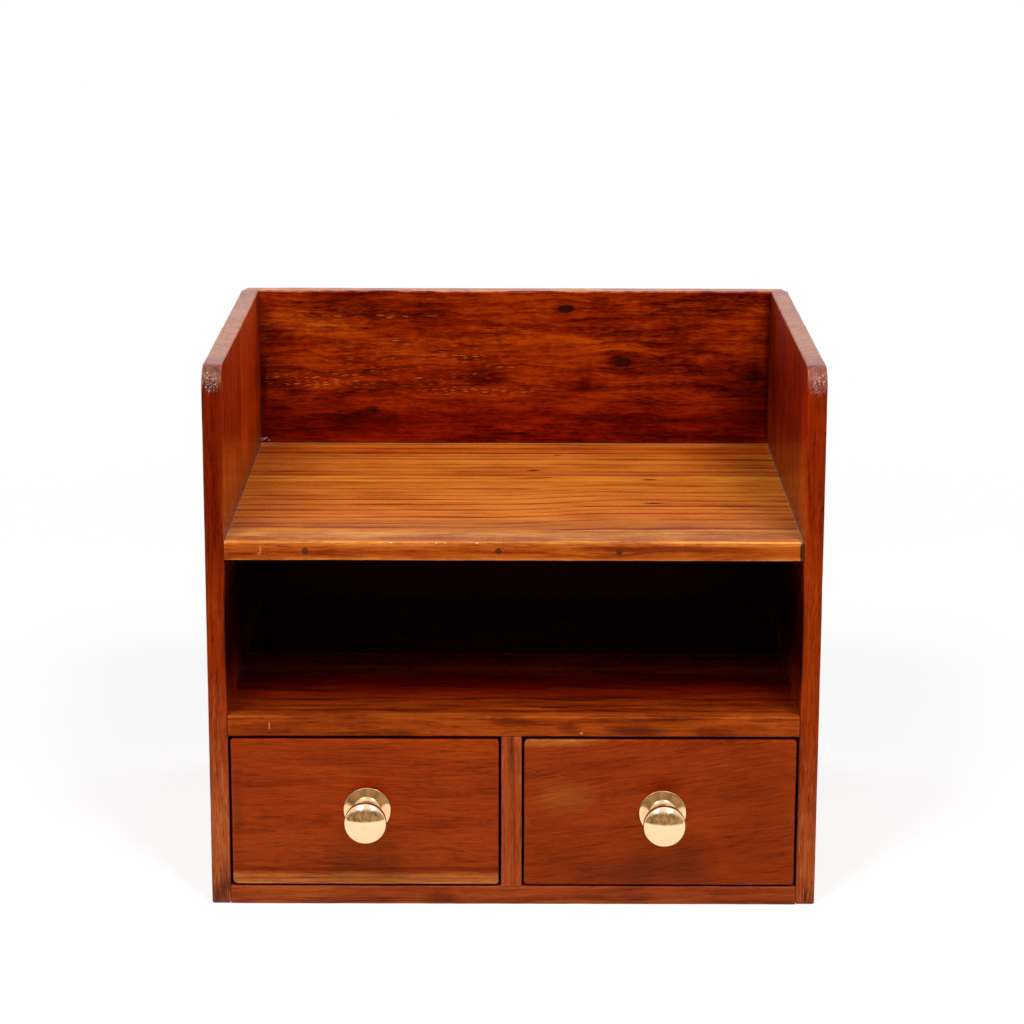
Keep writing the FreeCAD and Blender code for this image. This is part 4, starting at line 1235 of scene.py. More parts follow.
def lathe(profile, around, name):
    """A turned solid about Z. The profile is radius and height from one end to the other."""
    shape = bmesh.new()
    rings = []
    for radius, height in profile:
        if radius < 1e-7:
            rings.append([shape.verts.new((0, 0, height))])
            continue
        angles = (2 * math.pi * step / around for step in range(around))
        rings.append([shape.verts.new((radius * math.cos(a), radius * math.sin(a), height))
                      for a in angles])
    for lower, upper in zip(rings, rings[1:]):
        for step in range(around):
            after = (step + 1) % around
            if len(lower) == 1:
                shape.faces.new((lower[0], upper[after], upper[step]))
            elif len(upper) == 1:
                shape.faces.new((lower[step], lower[after], upper[0]))
            else:
                shape.faces.new((lower[step], lower[after], upper[after], upper[step]))
    bmesh.ops.recalc_face_normals(shape, faces=shape.faces)
    return as_mesh(shape, name)


def pointed(place, outward):
    """The transform that sets a shape made along Z at this place, pointing outward."""
    turn = Vector((0, 0, 1)).rotation_difference(outward).to_matrix().to_4x4()
    return Matrix.Translation(place) @ turn


def arc(centre, radius, start, end, steps):
    """Points of an arc in the profile's plane, with its angles in degrees."""
    return [(centre[0] + radius * math.cos(math.radians(start + (end - start) * step / steps)),
             centre[1] + radius * math.sin(math.radians(start + (end - start) * step / steps)))
            for step in range(steps + 1)]


def joined(meshes, name):
    """One mesh from several."""
    shape = bmesh.new()
    for mesh in meshes:
        shape.from_mesh(mesh)
        bpy.data.meshes.remove(mesh)
    return as_mesh(shape, name)


def shade(piece, sharp=32):
    """Smooth shading that keeps flat faces flat and sharp edges sharp."""
    piece.data.polygons.foreach_set("use_smooth", [True] * len(piece.data.polygons))
    piece.data.set_sharp_from_angle(angle=math.radians(sharp))
    weighted = piece.modifiers.new("Even normals", "WEIGHTED_NORMAL")
    weighted.keep_sharp = True


def dress(piece, material, slot, body, *nodes):
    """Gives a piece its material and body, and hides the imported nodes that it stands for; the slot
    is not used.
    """
    piece.data.materials.clear()
    piece.data.materials.append(material)
    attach(piece, body)
    if nodes:
        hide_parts(*nodes)
    return piece


# Holes for the fixings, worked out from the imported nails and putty

def loose_boxes(node):
    """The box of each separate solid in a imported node."""
    shape = bmesh.new()
    shape.from_mesh(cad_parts[node].data)
    bmesh.ops.remove_doubles(shape, verts=shape.verts, dist=1e-6)
    left = set(shape.verts)
    boxes = []
    while left:
        todo = [left.pop()]
        found = list(todo)
        while todo:
            for edge in todo.pop().link_edges:
                for vert in edge.verts:
                    if vert in left:
                        left.remove(vert)
                        todo.append(vert)
                        found.append(vert)
        low = Vector([min(v.co[axis] for v in found) for axis in range(3)])
        high = Vector([max(v.co[axis] for v in found) for axis in range(3)])
        boxes.append((low, high))
    shape.free()
    return sorted(boxes, key=lambda box: tuple(round(value, 5) for value in box[0]))


def long_axis(box):
    """The number of the axis that a long thin box lies along."""
    size = box[1] - box[0]
    return max(range(3), key=lambda axis: size[axis])


@dataclass
class Fixing:
    """A nail, brad or screw: its mouth on the face, the way out, and the hole's steps."""

    mouth: Vector
    outward: Vector
    profile: tuple
    plug_radius: float
    plug_depth: float


def plugged_nails(prefix):
    """The nails of a group that putty covers."""
    found = []
    nails = loose_boxes(prefix + "_nails")
    for plug in loose_boxes(prefix + "_putty"):
        middle = (plug[0] + plug[1]) / 2
        nail = min(nails, key=lambda box: ((box[0] + box[1]) / 2 - middle).length)
        axis = long_axis(nail)
        sign = 1 if middle[axis] > (nail[0][axis] + nail[1][axis]) / 2 else -1
        outward = Vector((0, 0, 0))
        outward[axis] = sign
        mouth = middle.copy()
        mouth[axis] = plug[1][axis] if sign > 0 else plug[0][axis]
        tip = nail[0][axis] if sign > 0 else nail[1][axis]
        radius = (plug[1] - plug[0])[(axis + 1) % 3] / 2
        depth = (plug[1] - plug[0])[axis]
        hole = radius + PLUG_CLEARANCE
        seat = depth + HEAD_ROOM
        end = abs(mouth[axis] - tip) + PLUG_CLEARANCE
        profile = ((0, MM), (hole, MM), (hole, -seat), (SHANK_RADIUS, -seat),
                   (SHANK_RADIUS, -end), (0, -end))
        found.append(Fixing(mouth, outward, profile, radius, depth))
    return found


def bare_brads(prefix):
    """The small nails under a drawer's bottom, whose heads stay bare."""
    found = []
    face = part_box(prefix + "_bottom")[0].z
    for low, high in loose_boxes(prefix + "_bottom_nails"):
        mouth = Vector(((low.x + high.x) / 2, (low.y + high.y) / 2, face))
        end = high.z - face + PLUG_CLEARANCE
        profile = ((0, MM), (BRAD_HEAD_RADIUS, MM), (BRAD_HEAD_RADIUS, -BRAD_HEAD_DEPTH),
                   (BRAD_SHANK_RADIUS, -BRAD_HEAD_DEPTH), (BRAD_SHANK_RADIUS, -end), (0, -end))
        found.append(Fixing(mouth, Vector((0, 0, -1)), profile, 0, 0))
    return found


def screw_hole(prefix):
    """The hole for a knob's screw through a drawer's front."""
    low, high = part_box(prefix + "_knob")
    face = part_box(prefix + "_front")
    mouth = Vector(((low.x + high.x) / 2, face[0].y, (low.z + high.z) / 2))
    depth = face[1].y - face[0].y + MM
    profile = ((0, MM), (SCREW_HOLE_RADIUS, MM), (SCREW_HOLE_RADIUS, -depth), (0, -depth))
    return Fixing(mouth, Vector((0, -1, 0)), profile, 0, 0)


CASE_GROUPS = ("left_side", "right_side", "shelf_strip", "divider", "back")
DRAWERS = ("left_drawer", "right_drawer")
FIXINGS = {prefix: plugged_nails(prefix) for prefix in CASE_GROUPS}
for prefix in DRAWERS:
    FIXINGS[prefix + "_front"] = plugged_nails(prefix + "_front")
    FIXINGS[prefix + "_back"] = plugged_nails(prefix + "_back")
    FIXINGS[prefix + "_bottom"] = bare_brads(prefix)
    FIXINGS[prefix + "_knob"] = [screw_hole(prefix)]


def holes_in(low, high, groups):
    """One mesh of every fixing's hole that reaches into this box."""
    meshes = []
    for group in groups:
        for fixing in FIXINGS[group]:
            end = fixing.mouth - fixing.outward * -fixing.profile[-1][1]
            reach = max(radius for radius, height in fixing.profile)
            nearest = [min(fixing.mouth[a], end[a]) - reach < high[a] - 1e-5
                       and max(fixing.mouth[a], end[a]) + reach > low[a] + 1e-5 for a in range(3)]
            if all(nearest):
                mesh = lathe(fixing.profile, 20, "hole")
                mesh.transform(pointed(fixing.mouth, fixing.outward))
                meshes.append(mesh)
    return joined(meshes, "holes") if meshes else None


def cut_holes(piece, low, high, groups):
    """Cuts the fixings' holes out of a board."""
    holes = holes_in(low, high, groups)
    if holes is None:
        return
    cutter = new_object("hole_cutter", holes)
    cut = piece.modifiers.new("Holes", "BOOLEAN")
    cut.operation = "DIFFERENCE"
    cut.solver = "EXACT"
    cut.object = cutter
    mesh = applied(piece)
    piece.modifiers.remove(cut)
    old = piece.data
    piece.data = mesh
    bpy.data.meshes.remove(old)
    drop_object(cutter)


def board(node, across, radii, rounding, groups, settings, tight=()):
    """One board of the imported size: rounded, worked by hand and bored for its fixings."""
    low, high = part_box(node)
    plane = [axis for axis in range(3) if axis != across]
    outline = rounded_rectangle([low[axis] for axis in plane], [high[axis] for axis in plane],
                                radii)
    shape = prism(outline, across, low[across], high[across])
    largest = weigh_edges(shape, low, high, rounding)
    piece = new_object(node + "_finished", as_mesh(shape, node))
    bevel = piece.modifiers.new("Rounding", "BEVEL")
    bevel.limit_method = "WEIGHT"
    bevel.width = largest
    bevel.segments = 3
    mesh = applied(piece)
    piece.modifiers.remove(bevel)
    shape = bmesh.new()
    shape.from_mesh(mesh)
    bpy.data.meshes.remove(mesh)
    cut_across(shape, low, high, settings.mesh_step)
    work_by_hand(shape, low, high, settings.waviness, settings.chatter, len(node) + high.x, tight)
    shape.to_mesh(piece.data)
    shape.free()
    cut_holes(piece, low, high, groups)
    shade(piece)
    return piece


SQUARE = (0, 0, 0, 0)
SEAM = 0.12 * MM
END = 0.2 * MM


def radius_of(node, corner_is_round):
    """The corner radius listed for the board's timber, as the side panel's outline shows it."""
    return TIMBERS[node].corner * MM if corner_is_round else 0


# Operators

class OrganizerOperator:
    """What the organizer's operators share."""

    bl_options = {"REGISTER", "UNDO"}

    def wood(self, context):
        return context.scene.organizer_wood


class ORGANIZER_OT_side_panels(OrganizerOperator, bpy.types.Operator):
    """Build the two side panels, each from two glued boards"""

    bl_idname = "organizer.side_panels"
    bl_label = "Side Panels"

    def execute(self, context):
        wood = self.wood(context)
        edge = wood.edge_round
        for side in ("left", "right"):
            front = side + "_side_front_board"
            rear = side + "_side_rear_board"
            rounding = [({"low", "front"}, 1.6 * MM), ({"low"}, edge), ({"rear"}, SEAM),
                        ({side}, edge), (set(), 0.9 * edge)]
            radii = (0, 0, 0, TIMBERS[front].corner * MM)
            piece = board(front, 0, radii, rounding, ("left_side", "right_side"), wood, ("rear",))
            dress(piece, polished_wood(front, wood), "side_wood", "case", front)
            rounding = [({"rear"}, END), ({"low"}, edge), ({"front"}, SEAM),
                        ({side}, edge), (set(), 0.9 * edge)]
            groups = ("left_side", "right_side", "back")
            piece = board(rear, 0, SQUARE, rounding, groups, wood, ("front", "rear"))
            dress(piece, polished_wood(rear, wood), "side_wood", "case", rear)
        return {"FINISHED"}


class ORGANIZER_OT_back(OrganizerOperator, bpy.types.Operator):
    """Build the back from its two boards"""

    bl_idname = "organizer.back"
    bl_label = "Back"

    def execute(self, context):
        wood = self.wood(context)
        edge = wood.edge_round
        top_corner = 4 * MM
        lower = [({"top"}, SEAM), ({"rear"}, edge), ({"low"}, edge), (set(), END)]
        piece = board("lower_back_board", 1, SQUARE, lower, ("back",), wood, ("top", "front"))
        dress(piece, polished_wood("lower_back_board", wood), "back_wood", "case",
              "lower_back_board")
        upper = [({"low"}, SEAM), ({"rear"}, edge), ({"front", "top"}, edge), (set(), END)]
        radii = (0, 0, top_corner, top_corner)
        piece = board("upper_back_board", 1, radii, upper, ("back",), wood, ("low",))
        dress(piece, polished_wood("upper_back_board", wood), "back_wood", "case",
              "upper_back_board")
        return {"FINISHED"}


class ORGANIZER_OT_upper_shelf(OrganizerOperator, bpy.types.Operator):
    """Build the upper shelf from its strip and its two boards"""

    bl_idname = "organizer.upper_shelf"
    bl_label = "Upper Shelf"

    def execute(self, context):
        wood = self.wood(context)
        groups = ("left_side", "right_side", "shelf_strip", "back")
        ends = ("left", "right")
        strip = [({"left"}, END), ({"right"}, END), ({"front", "top"}, 1.2 * wood.edge_round),
                 ({"front"}, 0.5 * wood.edge_round), (set(), SEAM)]
        inner = [({"left"}, END), ({"right"}, END), (set(), SEAM)]
        for node, rounding, tight in (
                ("upper_shelf_front_strip", strip, (*ends, "rear")),
                ("upper_shelf_middle_board", inner, (*ends, "front", "rear")),
                ("upper_shelf_rear_board", inner, (*ends, "front", "rear"))):
            piece = board(node, 2, SQUARE, rounding, groups, wood, tight)
            dress(piece, polished_wood(node, wood), "shelf_wood", "case", node)
        return {"FINISHED"}


class ORGANIZER_OT_lower_boards(OrganizerOperator, bpy.types.Operator):
    """Build the middle shelf, the bottom and the divider, each from two boards"""

    bl_idname = "organizer.lower_boards"
    bl_label = "Middle Shelf, Bottom and Divider"

    def execute(self, context):
        wood = self.wood(context)
        edge = wood.edge_round
        groups = ("left_side", "right_side", "divider", "back")
        ends = ("left", "right")
        shelf_front = [({"left"}, END), ({"right"}, END), ({"rear"}, SEAM),
                       ({"front", "top"}, 1.15 * edge), ({"front"}, 0.5 * edge), (set(), END)]
        bottom_front = [({"left"}, END), ({"right"}, END), ({"rear"}, SEAM),
                        ({"front", "low"}, 0.8 * edge), ({"front"}, 0.5 * edge), (set(), END)]
        plain = [({"left"}, END), ({"right"}, END), (set(), SEAM)]
        upright = [({"low"}, END), ({"top"}, END), ({"rear"}, SEAM), ({"front"}, 0.6 * edge),
                   (set(), END)]
        for node, across, rounding, tight in (
                ("middle_shelf_front_board", 2, shelf_front, (*ends, "rear")),
                ("middle_shelf_rear_board", 2, plain, (*ends, "front", "rear")),
                ("bottom_front_board", 2, bottom_front, (*ends, "rear")),
                ("bottom_rear_board", 2, plain, (*ends, "front", "rear")),
                ("divider_front_board", 0, upright, ("low", "top", "rear")),
                ("divider_rear_board", 0, plain, ("low", "top", "front", "rear"))):
            piece = board(node, across, SQUARE, rounding, groups, wood, tight)
            slot = "side_wood" if "divider" in node else "shelf_wood"
            dress(piece, polished_wood(node, wood), slot, "case", node)
        return {"FINISHED"}


class ORGANIZER_OT_drawer_fronts(OrganizerOperator, bpy.types.Operator):
    """Build the two drawer fronts"""

    bl_idname = "organizer.drawer_fronts"
    bl_label = "Drawer Fronts"

    def execute(self, context):
        wood = self.wood(context)
        corner_radii = {"left_drawer": (3.4, 2.0, 1.8, 1.6), "right_drawer": (2.4, 2.2, 2.0, 2.8)}
        rounding = [({"front"}, wood.edge_round), (set(), 0.4 * wood.edge_round)]
        for drawer in DRAWERS:
            node = drawer + "_front"
            radii = [radius * MM for radius in corner_radii[drawer]]
            groups = (drawer + "_front", drawer + "_knob")
            piece = board(node, 1, radii, rounding, groups, wood, ("rear",))
            dress(piece, polished_wood(node, wood), "drawer_front_wood", drawer, node)
        return {"FINISHED"}


class ORGANIZER_OT_drawer_boxes(OrganizerOperator, bpy.types.Operator):
    """Build the sides, backs and bottoms of the drawers"""

    bl_idname = "organizer.drawer_boxes"
    bl_label = "Drawer Boxes"

    def execute(self, context):
        wood = self.wood(context)
        rounding = [({"front"}, END), ({"rear"}, 0.4 * MM), ({"top"}, 0.8 * MM), (set(), END)]
        for drawer in DRAWERS:
            groups = [drawer + end for end in ("_front", "_back", "_bottom")]
            for part, across, tight in (
                    ("_left_side", 0, ("front", "low")), ("_right_side", 0, ("front", "low")),
                    ("_back", 1, ("left", "right", "low"))):
                node = drawer + part
                piece = board(node, across, SQUARE, rounding, groups, wood, tight)
                dress(piece, plain_wood(node, wood), "drawer_box_wood", drawer, node)
            node = drawer + "_bottom"
            piece = board(node, 2, SQUARE, [(set(), END)], groups, wood, ("front", "top"))
            dress(piece, plywood(node, wood), "drawer_plywood", drawer, node)
        return {"FINISHED"}


def knob_profile(settings, base_radius, length):
    """The knob's half section from the foot's middle to the middle of its face."""
    rim = settings.rim_thickness
    neck = settings.neck_diameter / 2
    head = settings.head_diameter / 2
    dome, shoulder, back = settings.dome_radius, settings.shoulder_radius, settings.back_radius
    lip = 0.3 * rim
    slope, cove = settings.foot_slope, settings.cove_radius
    cove_start = neck + cove - cove * math.sin(slope)
    foot_rise = (base_radius - cove_start) * math.tan(slope)
    neck_start = rim + foot_rise + cove * math.cos(slope)
    shoulder_middle = head - shoulder
    dome_middle = length - dome
    rise = math.sqrt((dome - shoulder) ** 2 - shoulder_middle ** 2)
    front = dome_middle + rise
    rear = front - settings.side_length
    meets = math.degrees(math.atan2(rise, shoulder_middle))
    back_middle = head - back
    back_start = -math.degrees(math.acos((neck - back_middle) / back))
    points = [(0, 0), (base_radius - lip, 0)]
    points += arc((base_radius - lip, lip), lip, -90, 0, 4)
    points += arc((base_radius - lip, rim - lip), lip, 0, 90, 4)
    for share in (0.12, 0.3, 0.5, 0.7, 0.88):
        points.append((base_radius + (cove_start - base_radius) * share, rim + foot_rise * share))
    points += arc((neck + cove, neck_start), cove, 270 - math.degrees(slope), 180, 18)
    points += arc((back_middle, rear), back, back_start, 0, 20)
    points += arc((shoulder_middle, front), shoulder, 0, meets, 8)
    points += arc((0, dome_middle), dome, meets + 1, 89, 24)
    return points + [(0, length)]


class ORGANIZER_OT_knobs(OrganizerOperator, bpy.types.Operator):
    """Build the two turned brass knobs"""

    bl_idname = "organizer.knobs"
    bl_label = "Knobs"

    def execute(self, context):
        settings = context.scene.organizer_knob
        for drawer in DRAWERS:
            node = drawer + "_knob"
            low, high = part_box(node)
            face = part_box(drawer + "_front")[0].y
            foot = Vector(((low.x + high.x) / 2, face, (low.z + high.z) / 2))
            profile = knob_profile(settings, (high.x - low.x) / 2, face - low.y)
            mesh = lathe(profile, settings.around, node)
            mesh.transform(pointed(foot, Vector((0, -1, 0))))
            piece = new_object(node + "_turned", mesh)
            shade(piece, 50)
            material = brass(node + "_brass", tuple(foot / MM), settings)
            dress(piece, material, "knob_brass", drawer, node)
        return {"FINISHED"}


class ORGANIZER_OT_fixings(OrganizerOperator, bpy.types.Operator):
    """Finish the nails, screws and washers, and fill the nail holes with putty"""

    bl_idname = "organizer.fixings"
    bl_label = "Nails, Screws and Putty"

    def execute(self, context):
        nail = steel("nail_bright_steel", (0.42, 0.41, 0.40), 0.38)
        screw = steel("screw_zinc_steel", (0.56, 0.54, 0.50), 0.30)
        for name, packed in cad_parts.items():
            material = nail if name.endswith("_nails") else None
            if name.endswith("_screw") or name.endswith("_washer"):
                material = screw
            if material:
                packed.data.materials.clear()
                packed.data.materials.append(material)
        brown = filler("putty_brown", (0.085, 0.022, 0.008), 0.55)
        grey = filler("putty_grey", (0.172, 0.028, 0.005), 0.6)
        groups = [(prefix, "case", brown) for prefix in CASE_GROUPS]
        for drawer in DRAWERS:
            groups.append((drawer + "_front", drawer, grey))
            groups.append((drawer + "_back", drawer, brown))
        for prefix, body, material in groups:
            meshes = []
            for number, fixing in enumerate(FIXINGS[prefix]):
                dish = 0.30 * MM if material == brown else 0.12 * MM
                mesh = putty_plug(fixing, dish, number)
                meshes.append(mesh)
            piece = new_object(prefix + "_putty_filled", joined(meshes, prefix))
            shade(piece, 60)
            dress(piece, material, "putty", body, prefix + "_putty")
        return {"FINISHED"}


def putty_plug(fixing, dish, number):
    """One plug, shrunk back at its rim as putty dries."""
    radius = fixing.plug_radius
    top = [(radius * share, -dish * (0.25 + 0.75 * share ** 3)) for share in
           (1.0, 0.9, 0.75, 0.55, 0.3)]
    profile = [(0, -fixing.plug_depth), (radius, -fixing.plug_depth)] + top + [(0, -0.25 * dish)]
    mesh = lathe(profile, 20, "plug")
    for vert in mesh.vertices:
        if vert.co.z > -1.5 * dish:
            rough = noise.noise(vert.co / (1.1 * MM) + Vector((number, 3 * number, 0)))
            vert.co.z -= 0.5 * dish * (0.5 + 0.5 * rough)
    mesh.transform(pointed(fixing.mouth, fixing.outward))
    return mesh


def glue_bead(start, end, first, second, width, seed, name):
    """A thin uneven bead of dried glue along an inner corner, against two faces."""
    shape = bmesh.new()
    length = (end - start).length
    count = max(4, round(length / (2.5 * MM)))
    rings = []
    for index in range(count + 1):
        share = index / count
        place = start.lerp(end, share)
        size = width * (0.35 + unevenness(place, 9 * MM, seed))
        size *= 0.25 + 0.75 * min(1.0, 6 * min(share, 1 - share) + 0.2)
        corners = (Vector(), first * size, (first + second) * 0.33 * size, second * size)
        rings.append([shape.verts.new(place + corner) for corner in corners])
    for before, after in zip(rings, rings[1:]):
        for index in range(4):
            following = (index + 1) % 4
            shape.faces.new((before[index], before[following], after[following], after[index]))
    shape.faces.new(rings[0])
    shape.faces.new(list(reversed(rings[-1])))
    bmesh.ops.recalc_face_normals(shape, faces=shape.faces)
    piece = new_object(name, as_mesh(shape, name))
    shade(piece, 60)
    return piece


class ORGANIZER_OT_glue_lines(OrganizerOperator, bpy.types.Operator):
    """Lay the thin beads of dried glue and lacquer in the case's inner corners"""

    bl_idname = "organizer.glue_lines"
    bl_label = "Glue Lines"

    def execute(self, context):
        pale = filler("glue_dried_pale", (0.16, 0.070, 0.045), 0.35)
        dark = filler("glue_dried_dark", (0.035, 0.008, 0.004), 0.4)
        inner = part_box("upper_shelf_rear_board")
        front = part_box("upper_shelf_front_strip")[0].y
        top = inner[1].z
        up = AXES["z"]
        for side, x, inward in (("left", inner[0].x, AXES["x"]), ("right", inner[1].x, -AXES["x"])):
            piece = glue_bead(Vector((x, front + 3 * MM, top)), Vector((x, inner[1].y, top)),
                              inward, up, 0.75 * MM, 3 if side == "left" else 8,
                              "upper_shelf_" + side + "_glue_bead")
            dress(piece, pale, "putty", "case")
            piece = glue_bead(Vector((x, inner[1].y, top)),
                              Vector((x, inner[1].y, cad_high.z - 8 * MM)),
                              inward, -AXES["y"], 0.45 * MM, 13 if side == "left" else 18,
                              "back_" + side + "_glue_bead")
            dress(piece, dark, "putty", "case")
        piece = glue_bead(Vector((inner[0].x, inner[1].y, top)),
                          Vector((inner[1].x, inner[1].y, top)),
                          up, -AXES["y"], 0.5 * MM, 23, "upper_shelf_rear_glue_bead")
        dress(piece, dark, "putty", "case")
        return {"FINISHED"}


# Stage

def plain_plane(name, half, height):
    """A flat square floor made of a few faces."""
    shape = bmesh.new()
    bmesh.ops.create_grid(shape, x_segments=8, y_segments=8, size=half)
    bmesh.ops.translate(shape, verts=shape.verts, vec=(0, 0, height))
    return new_object(name, as_mesh(shape, name))


def room_ahead(net, direction):
    """Where the dim room in front of the table is, as the object sees it."""
    parts = net.split(direction)
    sideways = net.math("DIVIDE", parts[0], 0.95)
    upward = net.math("DIVIDE", net.math("ADD", parts[2], 0.12), 0.69)
    spread = net.vector("LENGTH", net.join(sideways, upward, 0.0))
    above_table = net.smooth(parts[2], -0.13, -0.10)
    ahead = net.math("MULTIPLY", net.smooth(parts[1], 0.05, -0.05), above_table)
    return net.math("MULTIPLY", net.smooth(spread, 1.05, 0.92), ahead)


def room_colour(net, direction):
    """The warm tones of the room, with its darker things side by side."""
    things = net.noise(net.vector("MULTIPLY", direction, (7.0, 7.0, 3.0)), 2.0)
    return net.mix(net.smooth(things, 0.38, 0.62), (0.17, 0.12, 0.07, 1.0), (0.50, 0.37, 0.25, 1.0))


def floor_material():
    """A pale floor that takes the shadow near the object and fades to white further out."""
    material, net, shader = new_material("floor_pale")
    light_path = net.node("ShaderNodeLightPath")
    seen = net.math("MAXIMUM", light_path.outputs["Is Camera Ray"],
                    net.math("MAXIMUM", light_path.outputs["Is Glossy Ray"],
                             light_path.outputs["Is Transmission Ray"]))
    place = net.node("ShaderNodeTexCoord").outputs["Object"]
    far = net.smooth(net.vector("LENGTH", place), 0.35, 1.1)
    near = net.math("SUBTRACT", 1.0, far)
    shown = net.math("MULTIPLY", near, 0.34)
    mirrored = net.math("MAXIMUM", light_path.outputs["Is Glossy Ray"],
                        light_path.outputs["Is Transmission Ray"])
    knob_height = (0.0, -0.16, 0.054)
    direction = net.vector("NORMALIZE", net.vector("SUBTRACT", place, knob_height))
    gone = net.math("MULTIPLY", mirrored, room_ahead(net, direction))
    tone = net.total(net.math("MULTIPLY", net.math("SUBTRACT", 1.0, seen), 0.42),
                     net.math("MULTIPLY", seen, shown))
    tone = net.math("MULTIPLY", tone, net.math("SUBTRACT", 1.0, gone))
    net.feed(shader.inputs["Base Color"], net.join(tone, tone, tone))
    glow = net.math("MULTIPLY", seen, net.math("ADD", 0.66, net.math("MULTIPLY", far, 0.34)))
    net.feed(shader.inputs["Emission Color"],
             net.mix(gone, net.join(glow, glow, glow), room_colour(net, direction)))
    shader.inputs["Emission Strength"].default_value = 1.0
    shader.inputs["Roughness"].default_value = 0.9
    shader.inputs["Specular IOR Level"].default_value = 0.0
    return material


def light_room(settings):
    """The world: white where it is seen, with a dim part above the front, and soft ambient."""
    world = bpy.context.scene.world or bpy.data.worlds.new("studio")
    bpy.context.scene.world = world
    world.use_nodes = True
    world.node_tree.nodes.clear()
    net = Net(world.node_tree)
    direction = net.node("ShaderNodeTexCoord").outputs["Generated"]
    height = net.split(direction)[2]
    upper = net.mix(net.smooth(height, 0.45, 0.8), (0.92, 0.95, 0.98, 1.0), (1.05, 1.15, 1.35, 1.0))
    light_path = net.node("ShaderNodeLightPath").outputs
    mirrored = net.mix(room_ahead(net, direction), upper, room_colour(net, direction))
    reflected = net.math("MAXIMUM", light_path["Is Glossy Ray"], light_path["Is Transmission Ray"])
    even = (settings.ambient, settings.ambient, settings.ambient, 1.0)
    colour = net.mix(reflected, even, mirrored)
    colour = net.mix(light_path["Is Camera Ray"], colour, (1.0, 1.0, 1.0, 1.0))
    background = net.node("ShaderNodeBackground")
    net.feed(background.inputs["Color"], colour)
    output = net.node("ShaderNodeOutputWorld")
    net.tree.links.new(background.outputs[0], output.inputs["Surface"])


def panel_lamp(name, direction, distance, size, power):
    """A rectangular lamp that looks at the object's middle from this direction."""
    data = bpy.data.lights.new(name, "AREA")
    data.shape = "RECTANGLE"
    data.size, data.size_y = size
    data.energy = power
    lamp = bpy.data.objects.new(name, data)
    bpy.context.scene.collection.objects.link(lamp)
    aim = (cad_low + cad_high) / 2
    away = Vector(direction).normalized()
    lamp.location = aim + away * distance
    lamp.rotation_mode = "QUATERNION"
    lamp.rotation_quaternion = away.to_track_quat("Z", "Y")
    return lamp


def set_camera(settings):
    """The camera of the photograph, from its place, tilt, turn and roll."""
    data = bpy.data.cameras.new("camera")
    data.lens = settings.lens
    data.sensor_width = 36
    camera = bpy.data.objects.new("camera", data)
    bpy.context.scene.collection.objects.link(camera)
    tilt, turn, roll = -settings.camera_tilt, settings.camera_turn, settings.camera_roll
    ahead = Vector((-math.sin(turn) * math.cos(tilt), math.cos(turn) * math.cos(tilt),
                    math.sin(tilt)))
    level_right = Vector((math.cos(turn), math.sin(turn), 0))
    level_up = level_right.cross(ahead)
    right = math.cos(roll) * level_right + math.sin(roll) * level_up
    up = math.cos(roll) * level_up - math.sin(roll) * level_right
    turned = Matrix((right, up, -ahead)).transposed().to_4x4()
    camera.matrix_world = Matrix.Translation(settings.camera_place) @ turned
    bpy.context.scene.camera = camera


class ORGANIZER_OT_stage(OrganizerOperator, bpy.types.Operator):
    """Set the floor, the lamps, the room and the camera"""

    bl_idname = "organizer.stage"
    bl_label = "Stage"

    def execute(self, context):
        settings = context.scene.organizer_stage
        floor = plain_plane("floor", 14.0, cad_low.z)
        floor.data.materials.append(floor_material())
        light_room(settings)
        for side in (-1, 1):
            lamp = panel_lamp("softbox", (0.325 * side, -0.60, 0.731), 1.8, (0.6, 0.6),
                              settings.key_power)
            lamp.visible_glossy = False
            lamp = panel_lamp("softbox_glow", (0.48 * side, -0.987, 0.74), 1.25, (0.34, 0.34),
                              settings.glow_power)
            lamp.visible_diffuse = False
            panel_lamp("back_lamp", (0.80 * side, 0.56, 0.22), 2.2, (1.0, 1.0),
                       settings.fill_power)
        set_camera(settings)
        context.scene.view_settings.view_transform = "Standard"
        return {"FINISHED"}


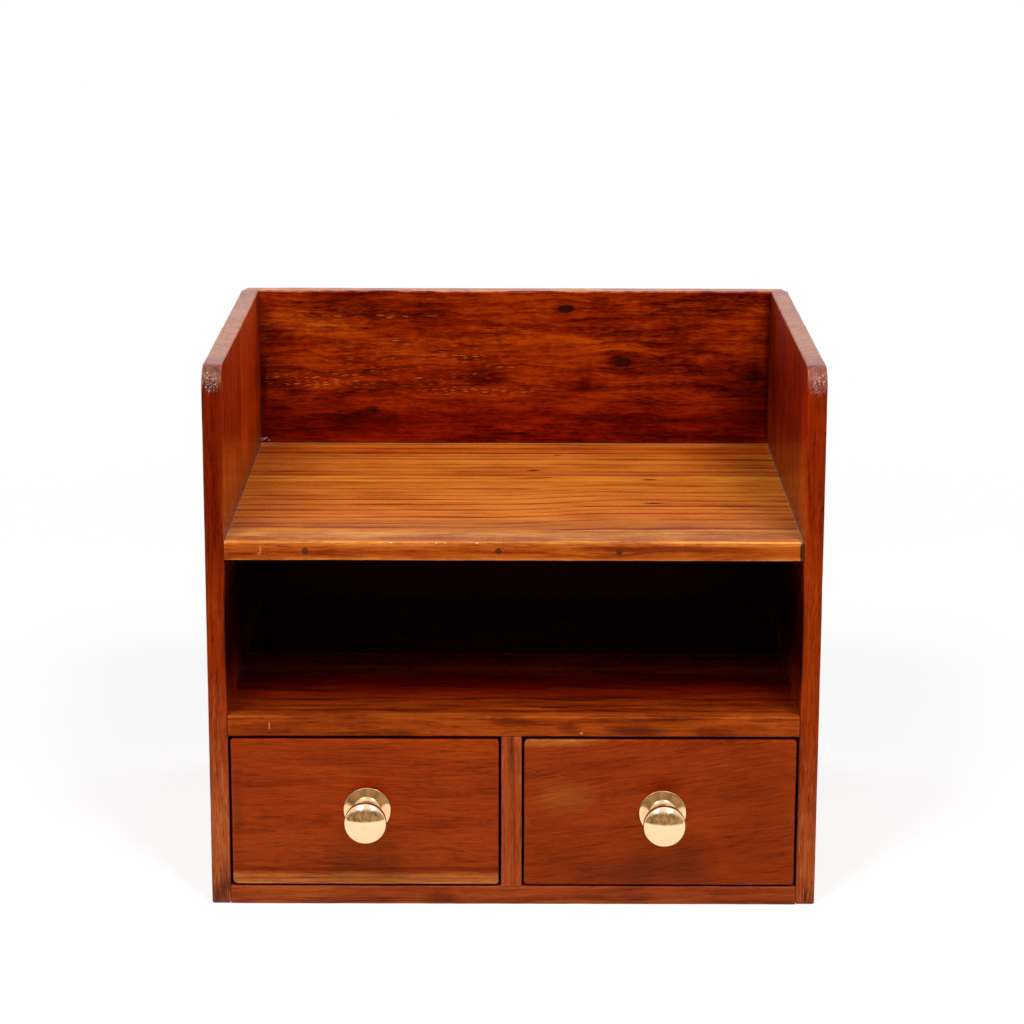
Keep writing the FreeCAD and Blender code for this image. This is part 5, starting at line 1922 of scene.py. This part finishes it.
class ORGANIZER_PT_panel(bpy.types.Panel):
    """The organizer's pieces and settings"""

    bl_idname = "ORGANIZER_PT_panel"
    bl_label = "Organizer"
    bl_space_type = "VIEW_3D"
    bl_region_type = "UI"
    bl_category = "Organizer"

    def draw(self, context):
        layout = self.layout
        for operator in OPERATORS:
            layout.operator(operator.bl_idname)
        for title, settings in (("Wood", context.scene.organizer_wood),
                                ("Knobs", context.scene.organizer_knob),
                                ("Stage", context.scene.organizer_stage)):
            box = layout.box()
            box.label(text=title)
            for name in settings.__annotations__:
                box.prop(settings, name)


OPERATORS = (
    ORGANIZER_OT_stage, ORGANIZER_OT_side_panels, ORGANIZER_OT_back, ORGANIZER_OT_upper_shelf,
    ORGANIZER_OT_lower_boards, ORGANIZER_OT_drawer_fronts, ORGANIZER_OT_drawer_boxes,
    ORGANIZER_OT_knobs, ORGANIZER_OT_fixings, ORGANIZER_OT_glue_lines,
)
SETTINGS = (
    ("organizer_wood", OrganizerWoodSettings), ("organizer_knob", OrganizerKnobSettings),
    ("organizer_stage", OrganizerStageSettings),
)


def register():
    """Registers the settings, the operators and the panel."""
    for name, group in SETTINGS:
        bpy.utils.register_class(group)
        setattr(bpy.types.Scene, name, PointerProperty(type=group))
    for made in (*OPERATORS, ORGANIZER_PT_panel):
        bpy.utils.register_class(made)


def unregister():
    """Takes them out again."""
    for made in (ORGANIZER_PT_panel, *reversed(OPERATORS)):
        bpy.utils.unregister_class(made)
    for name, group in reversed(SETTINGS):
        delattr(bpy.types.Scene, name)
        bpy.utils.unregister_class(group)


def main():
    """Builds the organizer."""
    register()
    bpy.ops.organizer.stage()
    bpy.ops.organizer.side_panels()
    bpy.ops.organizer.back()
    bpy.ops.organizer.upper_shelf()
    bpy.ops.organizer.lower_boards()
    bpy.ops.organizer.drawer_fronts()
    bpy.ops.organizer.drawer_boxes()
    bpy.ops.organizer.knobs()
    bpy.ops.organizer.fixings()
    bpy.ops.organizer.glue_lines()


if __name__ == "__main__":
    main()
